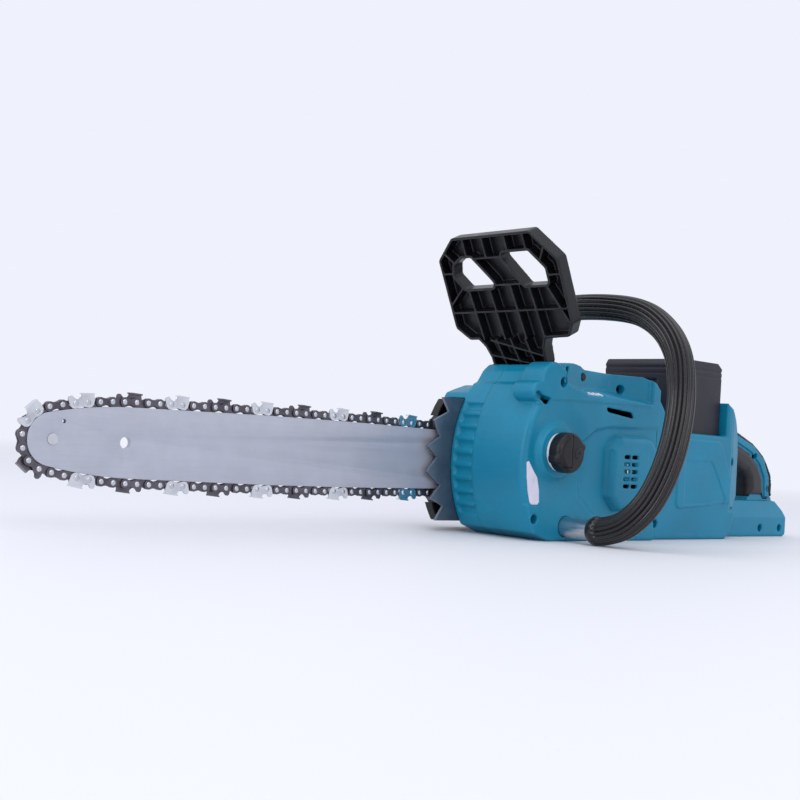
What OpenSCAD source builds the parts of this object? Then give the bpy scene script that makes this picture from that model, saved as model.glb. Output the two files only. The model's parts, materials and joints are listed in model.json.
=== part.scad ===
// Battery chainsaw with a rear handle, in millimetres.
// X runs forward along the guide bar, Y to the user's left, Z up.
// The origin is on the ground under the drive sprocket, in the plane where the two housings part.

/* [Bar and chain] */
// Distance from the sprocket axle to the tip of the guide bar
bar_reach = 468; // [440:1:480]
// Height of the sprocket axle and the bar's middle line above the ground
axle_z = 62; // [60:1:64]
// Distance of the bar's middle plane to the right of the housing split
bar_offset = 34; // [33:1:35]
// Thickness of the guide bar
bar_t = 4.4; // [4.2:0.1:4.6]
// Radius of the bar's nose
nose_r = 18.5; // [18:0.5:20]
// Half of the bar's width where it is widest
crown_h = 26.8; // [26.5:0.1:27.5]
// Number of drive links in the chain loop
link_count = 54; // [52:2:56]
// Thickness of a drive link
link_t = 1.3; // [1.1:0.1:1.5]
// Thickness of the side plates of the chain
strap_t = 1.4; // [1.2:0.1:1.5]

/* [Powerhead] */
// Radius of the round front of the housings
drum_r = 108; // [106:1:110]
// Distance from the housing split to the left face
left_face = 61; // [60:1:62]
// Distance from the housing split to the bar mount face
right_face = 25; // [24:1:26]
// Height of the top deck
deck_z = 148; // [147:1:150]
// Half of the width of the battery bay end
bay_half_w = 55; // [54:1:56]
// Wall thickness of the housings
wall = 3; // [2.5:0.5:3.5]
// Distance from the sprocket axle back to the motor shaft
motor_x = 60; // [59:0.5:61]

/* [Handles and guard] */
// Outer radius of the rubber sleeve on the front handle
sleeve_r = 11.75; // [11:0.25:11.75]
// Outer radius of the front handle's metal tube
tube_r = 8.5; // [8:0.25:9]
// Forward lean of the hand guard, in degrees
guard_lean = 25.6; // [24:0.2:27]
// Half of the width of the hand guard
guard_half_w = 68.5; // [66:0.5:70]
// Height of the hand guard's plate above the deck, along its slope
guard_h = 123; // [118:1:126]

/* [Battery] */
// Width of the battery pack
pack_w = 92; // [88:1:92]
// Thickness of the battery pack
pack_t = 68; // [66:1:68]
// Height of the top of the battery pack
pack_top = 172; // [160:1:172]

/* [Hidden] */

teal = "#217d9e";
black = "#202024";
dark_metal = "#4a4c52";
bright_metal = "#c4c6cc";
copper = "#b87333";

fine = 96;
medium = 48;
coarse = 32;
running_gap = 0.05;

bar_y = -bar_offset;
drum_x = -30;
drum_z = 65;

// Positions along the bar are given as s, the distance back from the tip.
flare_s = 85;
crown_s = 235;
crown_r = 7500;
flare_h = crown_h - (crown_s - flare_s) ^ 2 / (2 * crown_r);
flare_r = ((flare_s - nose_r) ^ 2 + flare_h ^ 2 - nose_r ^ 2) / (2 * (flare_h - nose_r));
tangent_s = nose_r * (1 - (flare_s - nose_r) / (flare_r - nose_r));
nose_sweep = acos((tangent_s - nose_r) / nose_r * -1);
bar_length = bar_reach - 22;

// Chain: the rivets run a little outside the bar's edge.
rivet_lift = 3.6;
sprocket_r = 18.6;
entry_s = bar_reach - 36;

/* ---- shared shapes ---- */

// Extrudes an X-Z outline from y0 to y1
module slab(y0, y1) {
    translate([0, y1, 0]) rotate([90, 0, 0]) linear_extrude(y1 - y0) children();
}

// Round bar along Y
module rod_y(x, z, r, y0, y1, facets = medium) {
    translate([x, y1, z]) rotate([90, 0, 0]) cylinder(r = r, h = y1 - y0, $fn = facets);
}

// Tube along Y
module tube_y(x, z, r_out, r_in, y0, y1, facets = medium) {
    difference() {
        rod_y(x, z, r_out, y0, y1, facets);
        rod_y(x, z, r_in, y0 - 1, y1 + 1, facets);
    }
}

// Block from one corner to the opposite one
module block(a, b) {
    translate(a) cube(b - a);
}

function arc(centre, r, a0, a1, n) =
    [for (i = [0:n]) centre + r * [cos(a0 + (a1 - a0) * i / n), sin(a0 + (a1 - a0) * i / n)]];

/* ---- housing outlines, X forward and Z up ---- */

function drum_arc(r, z0, z1, n = 20) =
    arc([drum_x, drum_z], r, asin((z0 - drum_z) / r), asin((z1 - drum_z) / r), n);

// Round front, guard hump, deck, shoulder, battery bay edge and rear arch
function body_outline() = concat(
    drum_arc(drum_r, 7, 130.5),
    [[51.5, 132.5], [48.5, 137], [45, 142.5], [38, 148.5], [30, 151], [16, 152], [4, 151], [-4, deck_z]],
    [[-84, deck_z], [-97, deck_z - 4.5], [-107, deck_z - 13.5], [-118, deck_z - 25.5]],
    [[-130, 104], [-135, 101.5], [-141, 101], [-224, 101]],
    [[-224, 134], [-234, 129], [-246, 118], [-254, 105], [-258, 88]],
    [[-260, 42], [-251, 34], [-236, 4], [-230, 0], [42, 0]]
);

// Low part behind the bay: foot and rear handle core
function foot_outline() = [
    [-220, 0], [-377, 0], [-380, 3], [-380, 27], [-374, 37], [-240, 37], [-220, 37]
];

grip_back = [[-232, 134], [-262, 122], [-301, 107], [-321, 99], [-342, 90], [-359, 79], [-369, 68], [-373, 56]];
grip_front = [[-326, 50], [-324, 60], [-318, 66.5], [-262, 88], [-244, 92]];

function grip_outline() = concat(
    grip_back, [[-373, 34], [-326, 34]], grip_front, [[-238, 92], [-224, 92], [-224, 128]]
);

module body_profile() { polygon(body_outline()); }
module foot_profile() { polygon(foot_outline()); }
module grip_profile() { polygon(grip_outline()); }

// Finger opening between the rear handle and the casing
finger_front = -240;
finger_floor = 37;
finger_half_w = 24;
module finger_profile() {
    polygon(concat([[finger_front, finger_floor + 4], [finger_front + 6, finger_floor], [-322, finger_floor]],
        [[-326, 41]], grip_front, [[-240, 91]]));
}

// Outline of the hollow inside the front of both housings
module cavity_profile() {
    offset(delta = -wall) intersection() {
        body_profile();
        translate([-146, 0]) square([260, 160]);
    }
}

/* ---- housings ---- */

pivot_x = 12;
pivot_z = 138;
pivot_r = 3;
barrel_r = 9;
neck_y0 = -24;
neck_y1 = 38.5;
neck_mid = (neck_y0 + neck_y1) / 2;

// Ear beside the guard's barrel: a tall lobe for its screw and a small one over the drum's rim
module ear_profile() {
    translate([46, 134]) circle(r = 16.5, $fn = fine);
    translate([65, 124.5]) circle(r = 8.5, $fn = medium);
}

cap_x = 38;
cap_z = 75;
collar_r = 22;
neck_bore_r = 14.4;

bulge_x0 = -100;
bulge_x1 = -30;
bulge_z0 = 27;
bulge_z1 = 93;
bulge_face = left_face + 6;

bay_x0 = -154 - pack_t - 2;
bay_x1 = -152;
bay_floor = 52;
bay_y = pack_w / 2 + 1;

vent_rows = 5;
vent_pitch = 6.5;
vent_z = 47;
flute_count = 9;
flute_step = 6.1;

// Pocket that the guard's barrel and neck swing in
module guard_pocket() {
    rod_y(pivot_x, pivot_z, barrel_r + 0.8, neck_y0 - 0.6, neck_y1 + 0.6);
    slab(neck_y0 - 0.6, neck_y1 + 0.6)
        polygon([
            [pivot_x - 8, pivot_z + 4], [pivot_x - 4, 165], [pivot_x + 36, 165],
            [pivot_x + 21.5, pivot_z + 9.5], [pivot_x + 9, pivot_z + 0.5]
        ]);
}

// Round tunnel for the lower end of the front handle
tunnel_x = 22;
tunnel_end = 22;
tunnel_z = 12.5;

module handle_bores() {
    rod_y(tunnel_x, tunnel_z, tube_r + running_gap, tunnel_end, 80);
    rod_y(tunnel_x, tunnel_z, 2.6, 10, 25, coarse);
}

right_boss_x = -50;
right_boss_z = 132;
boss_end = -32;
module right_boss_bore() {
    rod_y(right_boss_x, right_boss_z, tube_r + running_gap, -80, boss_end);
    rod_y(right_boss_x, right_boss_z, 2.6, -40, 0, coarse);
    rod_y(right_boss_x, right_boss_z, 5.6, -24.5, 3, coarse);
}

// Screw places: x, z and how far out the boss's face is
left_screw_spots = [
    [61.5, 18.5, left_face], [35, 134, left_face], [-62, 135, 48],
    [-113, 15, bay_half_w], [-239, 76, 53], [-330, 9, 32], [-368, 9, 32]
];
grip_screw_spots = [[-334, 84], [-361, 50]];

module screw_sinks() {
    for (p = left_screw_spots) {
        rod_y(p[0], p[1], 4, p[2] - 10, p[2] + 1, coarse);
        rod_y(p[0], p[1], 2.1, 0, p[2], coarse);
    }
    for (p = grip_screw_spots) {
        rod_y(p[0], p[1], 3.2, 11, 30, coarse);
        rod_y(p[0], p[1], 1.6, -11, 12, coarse);
    }
}

module vent_slots() {
    for (row = [0:vent_rows - 1])
        for (col = [0:1])
            block([-56 - col * 11, left_face - 4, vent_z + row * vent_pitch],
                [-47 - col * 11, bulge_face + 1, vent_z + row * vent_pitch + 3.2]);
    block([-84, left_face, 72], [-82, bulge_face + 1, 81]);
}

// Tilts its children about the outer edge of the lamp ledge, so that they lie on its slope
ledge_z = 125.5;
ledge_slope = 20;
module on_ledge() {
    translate([0, left_face, ledge_z]) rotate([-ledge_slope, 0, 0]) translate([0, -left_face, -ledge_z]) children();
}

// Recess along the top of the left face: two walls that meet in a valley, over a sloping ledge
valley_x = -50;
valley_y = 42;
module left_recess() {
    intersection() {
        translate([0, 0, 110]) linear_extrude(60) polygon([
            [33, left_face + 2], [33, left_face - 1], [27, left_face - 4], [valley_x + 2, valley_y],
            [valley_x - 2, valley_y], [-78, 52], [-88, 56], [-92, left_face], [-92, left_face + 2]
        ]);
        on_ledge() slab(20, left_face + 1) polygon([
            [32, 175], [32, 134], [21, 131], [4, 128], [-33, ledge_z + 0.8], [-92, ledge_z - 2], [-92, 175]
        ]);
    }
}

window_outline = [
    [74, 65], [72, 66.5], [66.5, 59.5], [60.5, 53], [57.5, 43], [56.5, 33], [58.5, 30.5],
    [66, 30.5], [68.5, 32.5], [71.5, 42], [73.2, 52]
];

// Half of the foot, seen from behind: upright sides with a slope above
module foot_half() {
    intersection() {
        slab(0, 32) foot_profile();
        translate([-400, 0, 0]) rotate([90, 0, 90]) linear_extrude(190)
            polygon([[0, 0], [31, 0], [32, 2], [32, 20], [21, 37], [0, 37]]);
    }
}

// Half of the rear handle's core, thinner where the rubber wraps round it
module grip_half() {
    difference() {
        slab(0, core_half_w) grip_profile();
        slab(-1, core_half_w + 1) difference() {
            grip_rubber_profile();
            offset(delta = -rubber_t - 0.1) grip_profile();
        }
    }
    slab(core_half_w - 1, core_half_w + rubber_t - 0.4) grip_strip();
}

module bay_hollow() {
    block([bay_x0, -bay_y, bay_floor], [bay_x1, bay_y, 180]);
}

// Hollow for the switch inside the top of the rear handle
module switch_hollow() {
    slab(-9, 9) polygon([[-238, 88], [-292, 70], [-296, 90], [-288, 106], [-250, 118], [-238, 116]]);
}

// Hollow between the battery bay and the rear of the casing, and inside the foot
module rear_hollow() {
    slab(-1, bay_half_w - wall) polygon([[-228, 8], [-228, 31], [-246, 31], [-249, 29], [-233, 8]]);
    slab(finger_half_w + wall, taper_y - wall - 1.5)
        polygon([[-228, 36], [-228, 124], [-240, 116], [-251, 101], [-255, 87], [-257, 44], [-251, 36]]);
    slab(-1, 26) polygon([[-262, 4], [-262, 22], [-318, 22], [-318, 4]]);
    slab(-1, 26) polygon([[-342, 4], [-342, 22], [-358, 22], [-358, 4]]);
}

// Wedge cut from each side so that the casing narrows towards the rear handle
taper_y = 44.5;
module rear_taper() {
    translate([0, 0, 28]) linear_extrude(120)
        polygon([[-232, bay_half_w], [-262, taper_y], [-270, taper_y], [-270, bay_half_w + 5], [-232, bay_half_w + 5]]);
}

button_x = -2;
button_y0 = 46.5;
button_z = 141.5;
button_r = 3;

lamp_pitch = 6.5;
lamp_w = 3.6;
lamp_x0 = -1;
lamp_y0 = 53.6;
lamp_y1 = 59.4;

// Seats of the charge lamps and of their button
module lamp_slots() {
    on_ledge() block(
        [lamp_x0 - 3 * lamp_pitch - 0.2, lamp_y0 - 0.2, ledge_z - 0.6],
        [lamp_x0 + lamp_w + 0.2, lamp_y1 + 0.2, ledge_z + 3]
    );
    rod_y(button_x, button_z, button_r + 0.3, button_y0 - 1.5, left_face, coarse);
}

module lock_slot() {
    block([-276, -3.5, 100], [-246, 3.5, 140]);
}

// Slot in the underside of the rear handle that the trigger moves in
module trigger_slot() {
    slab(-7.2, 7.2) polygon([[-240, 60], [-292, 60], [-292, 88], [-264, 102], [-240, 104]]);
}

module left_housing() {
    color(teal) difference() {
        union() {
            slab(0, left_face) intersection() {
                body_profile();
                translate([-104, 0]) square([300, 160]);
            }
            slab(0, bay_half_w) body_profile();
            slab(38, left_face) ear_profile();
            slab(left_face - 1, bulge_face)
                polygon([
                    [bulge_x1, bulge_z0 + 12], [bulge_x1, bulge_z1 - 12], [bulge_x1 - 12, bulge_z1],
                    [bulge_x0 + 12, bulge_z1], [bulge_x0, bulge_z1 - 12], [bulge_x0, bulge_z0 + 12],
                    [bulge_x0 + 12, bulge_z0], [bulge_x1 - 12, bulge_z0]
                ]);
            rod_y(cap_x, cap_z, collar_r, left_face - 1, left_face + 2, fine);
            foot_half();
            grip_half();
        }
        // Main hollow behind the left face
        difference() {
            union() {
                slab(-1, left_face - wall) intersection() {
                    cavity_profile();
                    translate([-101, 0]) square([300, 160]);
                }
                slab(-1, bay_half_w - wall) cavity_profile();
            }
            // Walls that stay around the guard's barrel and along the top recess
            slab(-2, left_face) translate([pivot_x, pivot_z]) circle(r = barrel_r + 5, $fn = fine);
            slab(34, left_face) ear_profile();
            slab(36, left_face) polygon([[24, 160], [24, 122], [-92, 117], [-92, 160]]);
            rod_y(tunnel_x, tunnel_z, tube_r + 4, 15, left_face);
            for (p = left_screw_spots) rod_y(p[0], p[1], 7, -1, left_face, coarse);
        }
        // Hollow of the motor bulge
        block(
            [bulge_x0 + 7, left_face - wall - 1, bulge_z0 + 10],
            [bulge_x1 - 7, bulge_face - wall, bulge_z1 - 10]
        );
        left_recess();
        vent_slots();
        guard_pocket();
        handle_bores();
        bay_hollow();
        screw_sinks();
        switch_hollow();
        lock_slot();
        slab(-1, finger_half_w) finger_profile();
        rear_hollow();
        rear_taper();
        lamp_slots();
        // Slanted grip slot under the recess
        slab(left_face - 6, left_face + 1) polygon([[-24, 117], [-28, 113], [-66, 109], [-61, 114.5]]);
        // Keyhole notch in the pivot ear
        slab(left_face - 4, left_face + 1)
            polygon([[71, 123], [68, 119.5], [62.5, 118], [57.5, 114.5], [53, 114.5], [50, 119.5], [61, 121.5], [67, 125]]);
        // Opening for the oil window and the filler neck
        slab(left_face - wall - 1, left_face + 1) polygon(window_outline);
        rod_y(cap_x, cap_z, neck_bore_r, left_face - wall - 1, left_face + 3, fine);
        // Bore for the hand guard's pin
        rod_y(pivot_x, pivot_z, pivot_r, neck_y0 - 6, neck_y1 + 8);
    }
    color(teal) tube_y(-motor_x, axle_z, 11.5, 8, left_face - 5.5, bulge_face - wall + 0.5);
}

module right_housing() {
    color(teal) difference() {
        union() {
            slab(-right_face, 0) body_profile();
            // Hood over the top of the sprocket cover
            slab(-52, -right_face + 1) polygon(concat(
                drum_arc(drum_r, 117, 122, 3),
                [[51, 126], [39, 130], [22, 131], [8, 142], [-4, deck_z]],
                [[-84, deck_z], [-97, deck_z - 4.5], [-100, 117]]
            ));
            // Rear part, as wide as the battery bay
            slab(-bay_half_w, -1) intersection() {
                body_profile();
                translate([-280, 0]) square([212, 160]);
            }
            // Pad that the guide bar is clamped against
            slab(bar_y + bar_t / 2, -right_face) translate([29, axle_z - 14]) square([28, 28]);
            // Boss for the upper end of the front handle
            rod_y(right_boss_x, right_boss_z, 12.5, -60, -20, fine);
            mirror([0, 1, 0]) foot_half();
            mirror([0, 1, 0]) grip_half();
        }
        // Main hollow beside the split
        difference() {
            union() {
                slab(-right_face + wall, 1) cavity_profile();
                slab(-bay_half_w + wall, 1) intersection() {
                    cavity_profile();
                    translate([-160, 0]) square([89, 160]);
                }
            }
            slab(-60, 2) translate([pivot_x, pivot_z]) circle(r = barrel_r + 5, $fn = fine);
            for (p = left_screw_spots) rod_y(p[0], p[1], 7, -60, 2, coarse);
            rod_y(0, axle_z, 17, -60, -10);
            rod_y(-motor_x, axle_z, 11, -60, -8);
            rod_y(right_boss_x, right_boss_z, 12.5, -60, 2);
            // Thicker wall behind the flutes
            slab(-right_face, 2) difference() {
                translate([drum_x, drum_z]) circle(r = drum_r, $fn = fine);
                translate([drum_x, drum_z]) circle(r = drum_r - 2 * wall, $fn = fine);
                translate([-200, 0]) square([254, 200]);
            }
        }
        // Hollow of the hood and the seat of the inner motor bearing
        slab(-49, -right_face - 1) polygon([[-32, 120], [-32, 143], [-4, 143], [-4, 120]]);
        rod_y(-motor_x, axle_z, 8, -13, -7);
        // Recess for the brake drum and the bores around the output shaft
        rod_y(0, axle_z, 28, -60, -right_face + 7, fine);
        rod_y(0, axle_z, 13, -19, -9);
        rod_y(0, axle_z, 8, -60, 0);
        // Flutes across the round front
        for (i = [0:flute_count - 1]) {
            a = (i - (flute_count - 1) / 2) * flute_step;
            rod_y(drum_x + (drum_r + 2) * cos(a), drum_z + (drum_r + 2) * sin(a), 4.6, -21, 1, coarse);
        }
        guard_pocket();
        right_boss_bore();
        bay_hollow();
        switch_hollow();
        lock_slot();
        for (z = bumper_screw_z) rod_y(bumper_screw_x, z, 2.4, -right_face - 1, -right_face + wall + 1, coarse);
        rod_y(stud_x, axle_z, 3.9, -40, -right_face - 0.2, coarse);
        for (p = left_screw_spots) rod_y(p[0], p[1], 1.6, -12, 1, coarse);
        for (p = grip_screw_spots) rod_y(p[0], p[1], 1.6, -11, 1, coarse);
        slab(-finger_half_w, 1) finger_profile();
        mirror([0, 1, 0]) rear_hollow();
        mirror([0, 1, 0]) rear_taper();
        rod_y(pivot_x, pivot_z, pivot_r, neck_y0 - 6, neck_y1 + 8);
    }
}

module screw_y(x, z, head_y, tip_y, head_r, shank_r) {
    rod_y(x, z, head_r, head_y - 3, head_y, coarse);
    rod_y(x, z, shank_r, tip_y, head_y - 2.5, coarse);
}

module housing_screws() {
    color(dark_metal) {
        for (p = left_screw_spots)
            difference() {
                screw_y(p[0], p[1], p[2] - 7, -8, 3.7, 1.55);
                rod_y(p[0], p[1], 1.6, p[2] - 8.5, p[2] - 6, 6);
            }
        for (p = grip_screw_spots)
            difference() {
                screw_y(p[0], p[1], 15, -8, 3.1, 1.55);
                rod_y(p[0], p[1], 1.4, 13.5, 16, 6);
            }
    }
}

/* ---- bar mount ---- */

bumper_screw_x = 57;
bumper_screw_z = [20, 105];

// Toothed steel plate in front of the bar mount
module spiked_bumper() {
    tips = [[91.5, 116], [100.5, 95.5], [106, 73.5], [105.5, 51.5], [99, 29], [92, 9.5]];
    valleys = [[83, 104], [92, 82], [94, 64], [88.5, 40], [83.5, 22]];
    teeth = [for (i = [0:10]) i % 2 == 0 ? tips[i / 2] : valleys[(i - 1) / 2]];
    color(dark_metal) difference() {
        slab(-right_face - 2.5, -right_face) polygon(concat(
            teeth, [[52, 9.5], [48, 14], [50, 28], [62, 38], [62, 86], [50, 98], [48, 112], [50, 116]]
        ));
        for (z = bumper_screw_z) rod_y(bumper_screw_x, z, 2.6, -right_face - 4, -right_face + 1, coarse);
    }
}

module bumper_screws() {
    color(bright_metal) for (z = bumper_screw_z)
        difference() {
            union() {
                rod_y(bumper_screw_x, z, 4.5, -right_face - 5, -right_face - 2.5, coarse);
                rod_y(bumper_screw_x, z, 2.4, -right_face - 3, -right_face + wall, coarse);
            }
            rod_y(bumper_screw_x, z, 2, -right_face - 6, -right_face - 3.5, 6);
        }
}

stud_x = 43;
guide_pin_x = [32, 54];

module bar_studs() {
    color(bright_metal) {
        rod_y(stud_x, axle_z, 3.9, bar_y - 44, -right_face - 0.2, coarse);
        for (x = guide_pin_x) rod_y(x, axle_z, 3.9, bar_y - 5, bar_y + bar_t / 2, coarse);
    }
}

cover_y0 = -72;
cover_y1 = -right_face - 0.2;
cover_front_y = bar_y - 4.2;
cover_r = 93;
// Outer side of the shallow nose in front of the dome
nose_y0 = bar_y - 13;

module cover_profile() {
    polygon(concat(
        arc([0, axle_z], cover_r, -35, 35, 14),
        [[60, 115], [-62, 115], [-66, 111], [-66, 30], [-52, 9], [60, 9]]
    ));
}

// Deep part of the cover, over the drive sprocket and the bar's clamp
module cover_dome_profile() {
    polygon([
        [46, 115], [-62, 115], [-66, 111], [-66, 30], [-52, 9], [46, 9],
        [58, 24], [70, 36], [70, 88], [58, 100]
    ]);
}

module sprocket_cover() {
    color(black) difference() {
        union() {
            slab(cover_y0, cover_y1) cover_dome_profile();
            slab(nose_y0, cover_y1) cover_profile();
            slab(cover_y0 - 6, cover_y0 + 1) translate([stud_x, axle_z]) circle(r = dish_r + 3, $fn = fine);
        }
        slab(cover_y0 + wall, cover_y1 + 1) offset(delta = -wall) cover_dome_profile();
        slab(nose_y0 + wall, cover_y1 + 1) offset(delta = -wall) cover_profile();
        // Open front for the bumper, the bar and the chain
        block([46, cover_front_y, -1], [100, cover_y1 + 1, 130]);
        block([60, cover_y0 + wall + 20, axle_z - 38], [100, cover_y1 + 1, axle_z + 38]);
        // Chip outlet at the lower rear
        block([-80, cover_y0 + 14, 16], [-60, cover_y1 - 8, 56]);
        // Dish for the dial and the knob, and the stud's hole
        rod_y(stud_x, axle_z, dish_r, cover_y0 - 7, cover_y0 - 2, fine);
        rod_y(stud_x, axle_z, 4.2, cover_y0 - 10, cover_y0 + 10, coarse);
    }
}

dish_r = 23.5;
dial_r = 22.5;
knob_r = 13;

module cover_knob() {
    color(black) difference() {
        union() {
            rod_y(stud_x, axle_z, knob_r, cover_y0 - 10, cover_y0 - 2.4, fine);
            translate([stud_x, 0, axle_z]) rotate([0, 35, 0])
                block([-knob_r + 1, cover_y0 - 19, -3.5], [knob_r - 1, cover_y0 - 9, 3.5]);
        }
        rod_y(stud_x, axle_z, 3.9 + running_gap, cover_y0 - 7, cover_y0 + 4);
    }
}

module tension_dial() {
    color("#8a8c92") difference() {
        rod_y(stud_x, axle_z, dial_r, cover_y0 - 8, cover_y0 - 2.4, fine);
        for (a = [0:20:340])
            translate([stud_x, 0, axle_z]) rotate([0, a, 0])
                rod_y(dial_r + 0.8, 0, 1.6, cover_y0 - 9, cover_y0, coarse);
        rod_y(stud_x, axle_z, knob_r + 0.4, cover_y0 - 9, cover_y0, fine);
    }
}

module tension_pin() {
    color(bright_metal) {
        rod_y(stud_x, axle_z + 17, 2.4, bar_y - 12, bar_y + bar_t / 2, coarse);
        block([stud_x - 7, bar_y - 16, axle_z + 13], [stud_x + 7, bar_y - 12, axle_z + 21]);
    }
}

module chain_catcher() {
    color("#8f9298") difference() {
        union() {
            rod_y(40, 18.4, 5, bar_y - 3, -right_face, coarse);
            rod_y(40, 18.4, 6, bar_y - 3.8, bar_y - 2, coarse);
        }
        rod_y(40, 18.4, 2, bar_y - 5, bar_y + 2, 6);
    }
}

/* ---- guide bar and chain ---- */

function bar_half(s) =
    s < tangent_s ? sqrt(nose_r ^ 2 - (nose_r - s) ^ 2)
    : s < flare_s ? flare_h - flare_r + sqrt(flare_r ^ 2 - (flare_s - s) ^ 2)
    : crown_h - (s - crown_s) ^ 2 / (2 * crown_r);

// Upper edge of the bar from the tip back, as [s, height]
function bar_edge(last_s) = concat(
    [for (i = [0:12]) [nose_r * (1 - cos(nose_sweep * i / 12)), nose_r * sin(nose_sweep * i / 12)]],
    [for (s = [22:9:last_s]) [s, bar_half(s)]]
);

function to_xz(p) = [bar_reach - p[0], axle_z + p[1]];

module bar_profile() {
    upper = concat(bar_edge(bar_length - 12), [[bar_length - 4, bar_half(bar_length) - 3], [bar_length, 18]]);
    lower = [for (i = [len(upper) - 1:-1:1]) [upper[i][0], -upper[i][1]]];
    polygon([for (p = concat(upper, lower)) to_xz(p)]);
}

module bar_bore(s, h, r) {
    rod_y(bar_reach - s, axle_z + h, r, bar_y - 5, bar_y + 5, coarse);
}

groove_depth = 6;
sprocket_pocket_r = 16.4;
module guide_bar() {
    color("#b7bac9") difference() {
        slab(bar_y - bar_t / 2, bar_y + bar_t / 2) bar_profile();
        // Groove for the drive link tangs
        difference() {
            slab(bar_y - 0.8, bar_y + 0.8) offset(delta = 1) bar_profile();
            slab(bar_y - 1, bar_y + 1) offset(delta = -groove_depth) bar_profile();
        }
        // Pocket for the nose sprocket and its axle bore
        rod_y(bar_reach - nose_r, axle_z, sprocket_pocket_r, bar_y - 1.1, bar_y + 1.1);
        bar_bore(nose_r, 0, 4);
        // Hanging hole, oil holes and the slot for the studs
        bar_bore(74, 0, 4.2);
        bar_bore(26, 12.5, 1.4);
        for (side = [-1, 1]) bar_bore(bar_length - 14, side * 19, 2);
        for (side = [-1, 1]) bar_bore(bar_reach - stud_x, side * 17, 2.6);
        slab(bar_y - 5, bar_y + 5) translate([26, axle_z - 4.2]) square([34, 8.4]);
    }
}

module bar_rivets() {
    proud = 0.2;
    color(bright_metal)
        rod_y(bar_reach - nose_r, axle_z, 3.95, bar_y - bar_t / 2 - proud, bar_y + bar_t / 2 + proud, coarse);
}

nose_teeth = 9;
module nose_sprocket() {
    color(dark_metal) difference() {
        rod_y(bar_reach - nose_r, axle_z, 13.2, bar_y - 0.7, bar_y + 0.7);
        rod_y(bar_reach - nose_r, axle_z, 4, bar_y - 1, bar_y + 1, coarse);
        for (i = [0:nose_teeth - 1])
            translate([bar_reach - nose_r, 0, axle_z]) rotate([0, i * 360 / nose_teeth, 0])
                rod_y(13.6, 0, 2.6, bar_y - 1, bar_y + 1, coarse);
    }
}

// Upper half of the rivets' path, as [s, height], from the tip to the back of the drive sprocket
function edge_normal(s) = let (slope = (bar_half(s + 0.5) - bar_half(s - 0.5))) [-slope, 1] / norm([-slope, 1]);
entry = [entry_s, bar_half(entry_s) + rivet_lift];
to_entry = entry - [bar_reach, 0];
entry_angle = atan2(to_entry[1], to_entry[0]) - acos(sprocket_r / norm(to_entry));
half_path = concat(
    [for (i = [0:14])
        [nose_r, 0] + (nose_r + rivet_lift) * [-cos(nose_sweep * i / 14), sin(nose_sweep * i / 14)]],
    [for (s = [24:8:entry_s]) [s, bar_half(s)] + rivet_lift * edge_normal(s)],
    [entry],
    [for (i = [0:10])
        [bar_reach, 0] + sprocket_r * [cos(entry_angle * (1 - i / 10)), sin(entry_angle * (1 - i / 10))]]
);
function run_length(i) = i == 0 ? 0 : run_length(i - 1) + norm(half_path[i] - half_path[i - 1]);
run = [for (i = [0:len(half_path) - 1]) run_length(i)];
half_loop = run[len(run) - 1];
pitch = half_loop / link_count;
s_table = [for (i = [0:len(run) - 1]) [run[i], half_path[i][0]]];
h_table = [for (i = [0:len(run) - 1]) [run[i], half_path[i][1]]];
function on_path(d) = d < 0 ? on_path(d + 2 * half_loop)
    : d > 2 * half_loop ? on_path(d - 2 * half_loop)
    : d <= half_loop ? to_xz([lookup(d, s_table), lookup(d, h_table)])
    : to_xz([lookup(2 * half_loop - d, s_table), -lookup(2 * half_loop - d, h_table)]);
function rivet_at(k) = on_path((k + 0.25) * pitch);

// Places a plate between rivet k and rivet k + 1, drawn from [0, 0] along +X with the bar below
module on_link(k) {
    a = rivet_at(k);
    b = rivet_at(k + 1);
    turn = atan2(a[1] - b[1], a[0] - b[0]);
    translate([b[0], 0, b[1]]) rotate([0, -turn, 0]) children();
}

module plate(y, t) {
    translate([0, y + t / 2, 0]) rotate([90, 0, 0]) linear_extrude(t) children();
}

side_y = link_t / 2 + strap_t / 2 + 0.02;

module strap_shape() {
    polygon([
        [-3.9, -1.6], [-2.6, -3.4], [1.5, -3.4], [pitch / 2, -2.3], [pitch - 1.5, -3.4],
        [pitch + 2.6, -3.4], [pitch + 3.9, -1.6], [pitch + 3.9, 1.4], [pitch + 2.6, 3.2],
        [pitch - 1.6, 3.2], [pitch / 2, 2.1], [1.6, 3.2], [-2.6, 3.2], [-3.9, 1.4]
    ]);
}

module drive_shape() {
    polygon([
        [-3.4, 1.4], [-2.2, 3.1], [1.6, 3.1], [pitch / 2, 1.8], [pitch - 1.6, 3.1],
        [pitch + 2.2, 3.1], [pitch + 3.4, 1.4], [pitch + 3.2, -2.4],
        [pitch / 2 + 3, -7.6], [pitch / 2 - 1.2, -8.4], [-1.6, -4.4], [-3.2, -2.4]
    ]);
}

module chain_drive_links() {
    color(dark_metal) for (k = [0:link_count - 1])
        on_link(2 * k) plate(bar_y, link_t) drive_shape();
}

// Strap pairs cycle through: left cutter, plain, right cutter, plain
function has_left_cutter(k) = k % 4 == 0;
function has_right_cutter(k) = k % 4 == 2;

module chain_tie_straps() {
    color("#3b3c40") for (k = [0:link_count - 1]) {
        if (!has_left_cutter(k)) on_link(2 * k + 1) plate(bar_y + side_y, strap_t) strap_shape();
        if (!has_right_cutter(k)) on_link(2 * k + 1) plate(bar_y - side_y, strap_t) strap_shape();
    }
}

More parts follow.
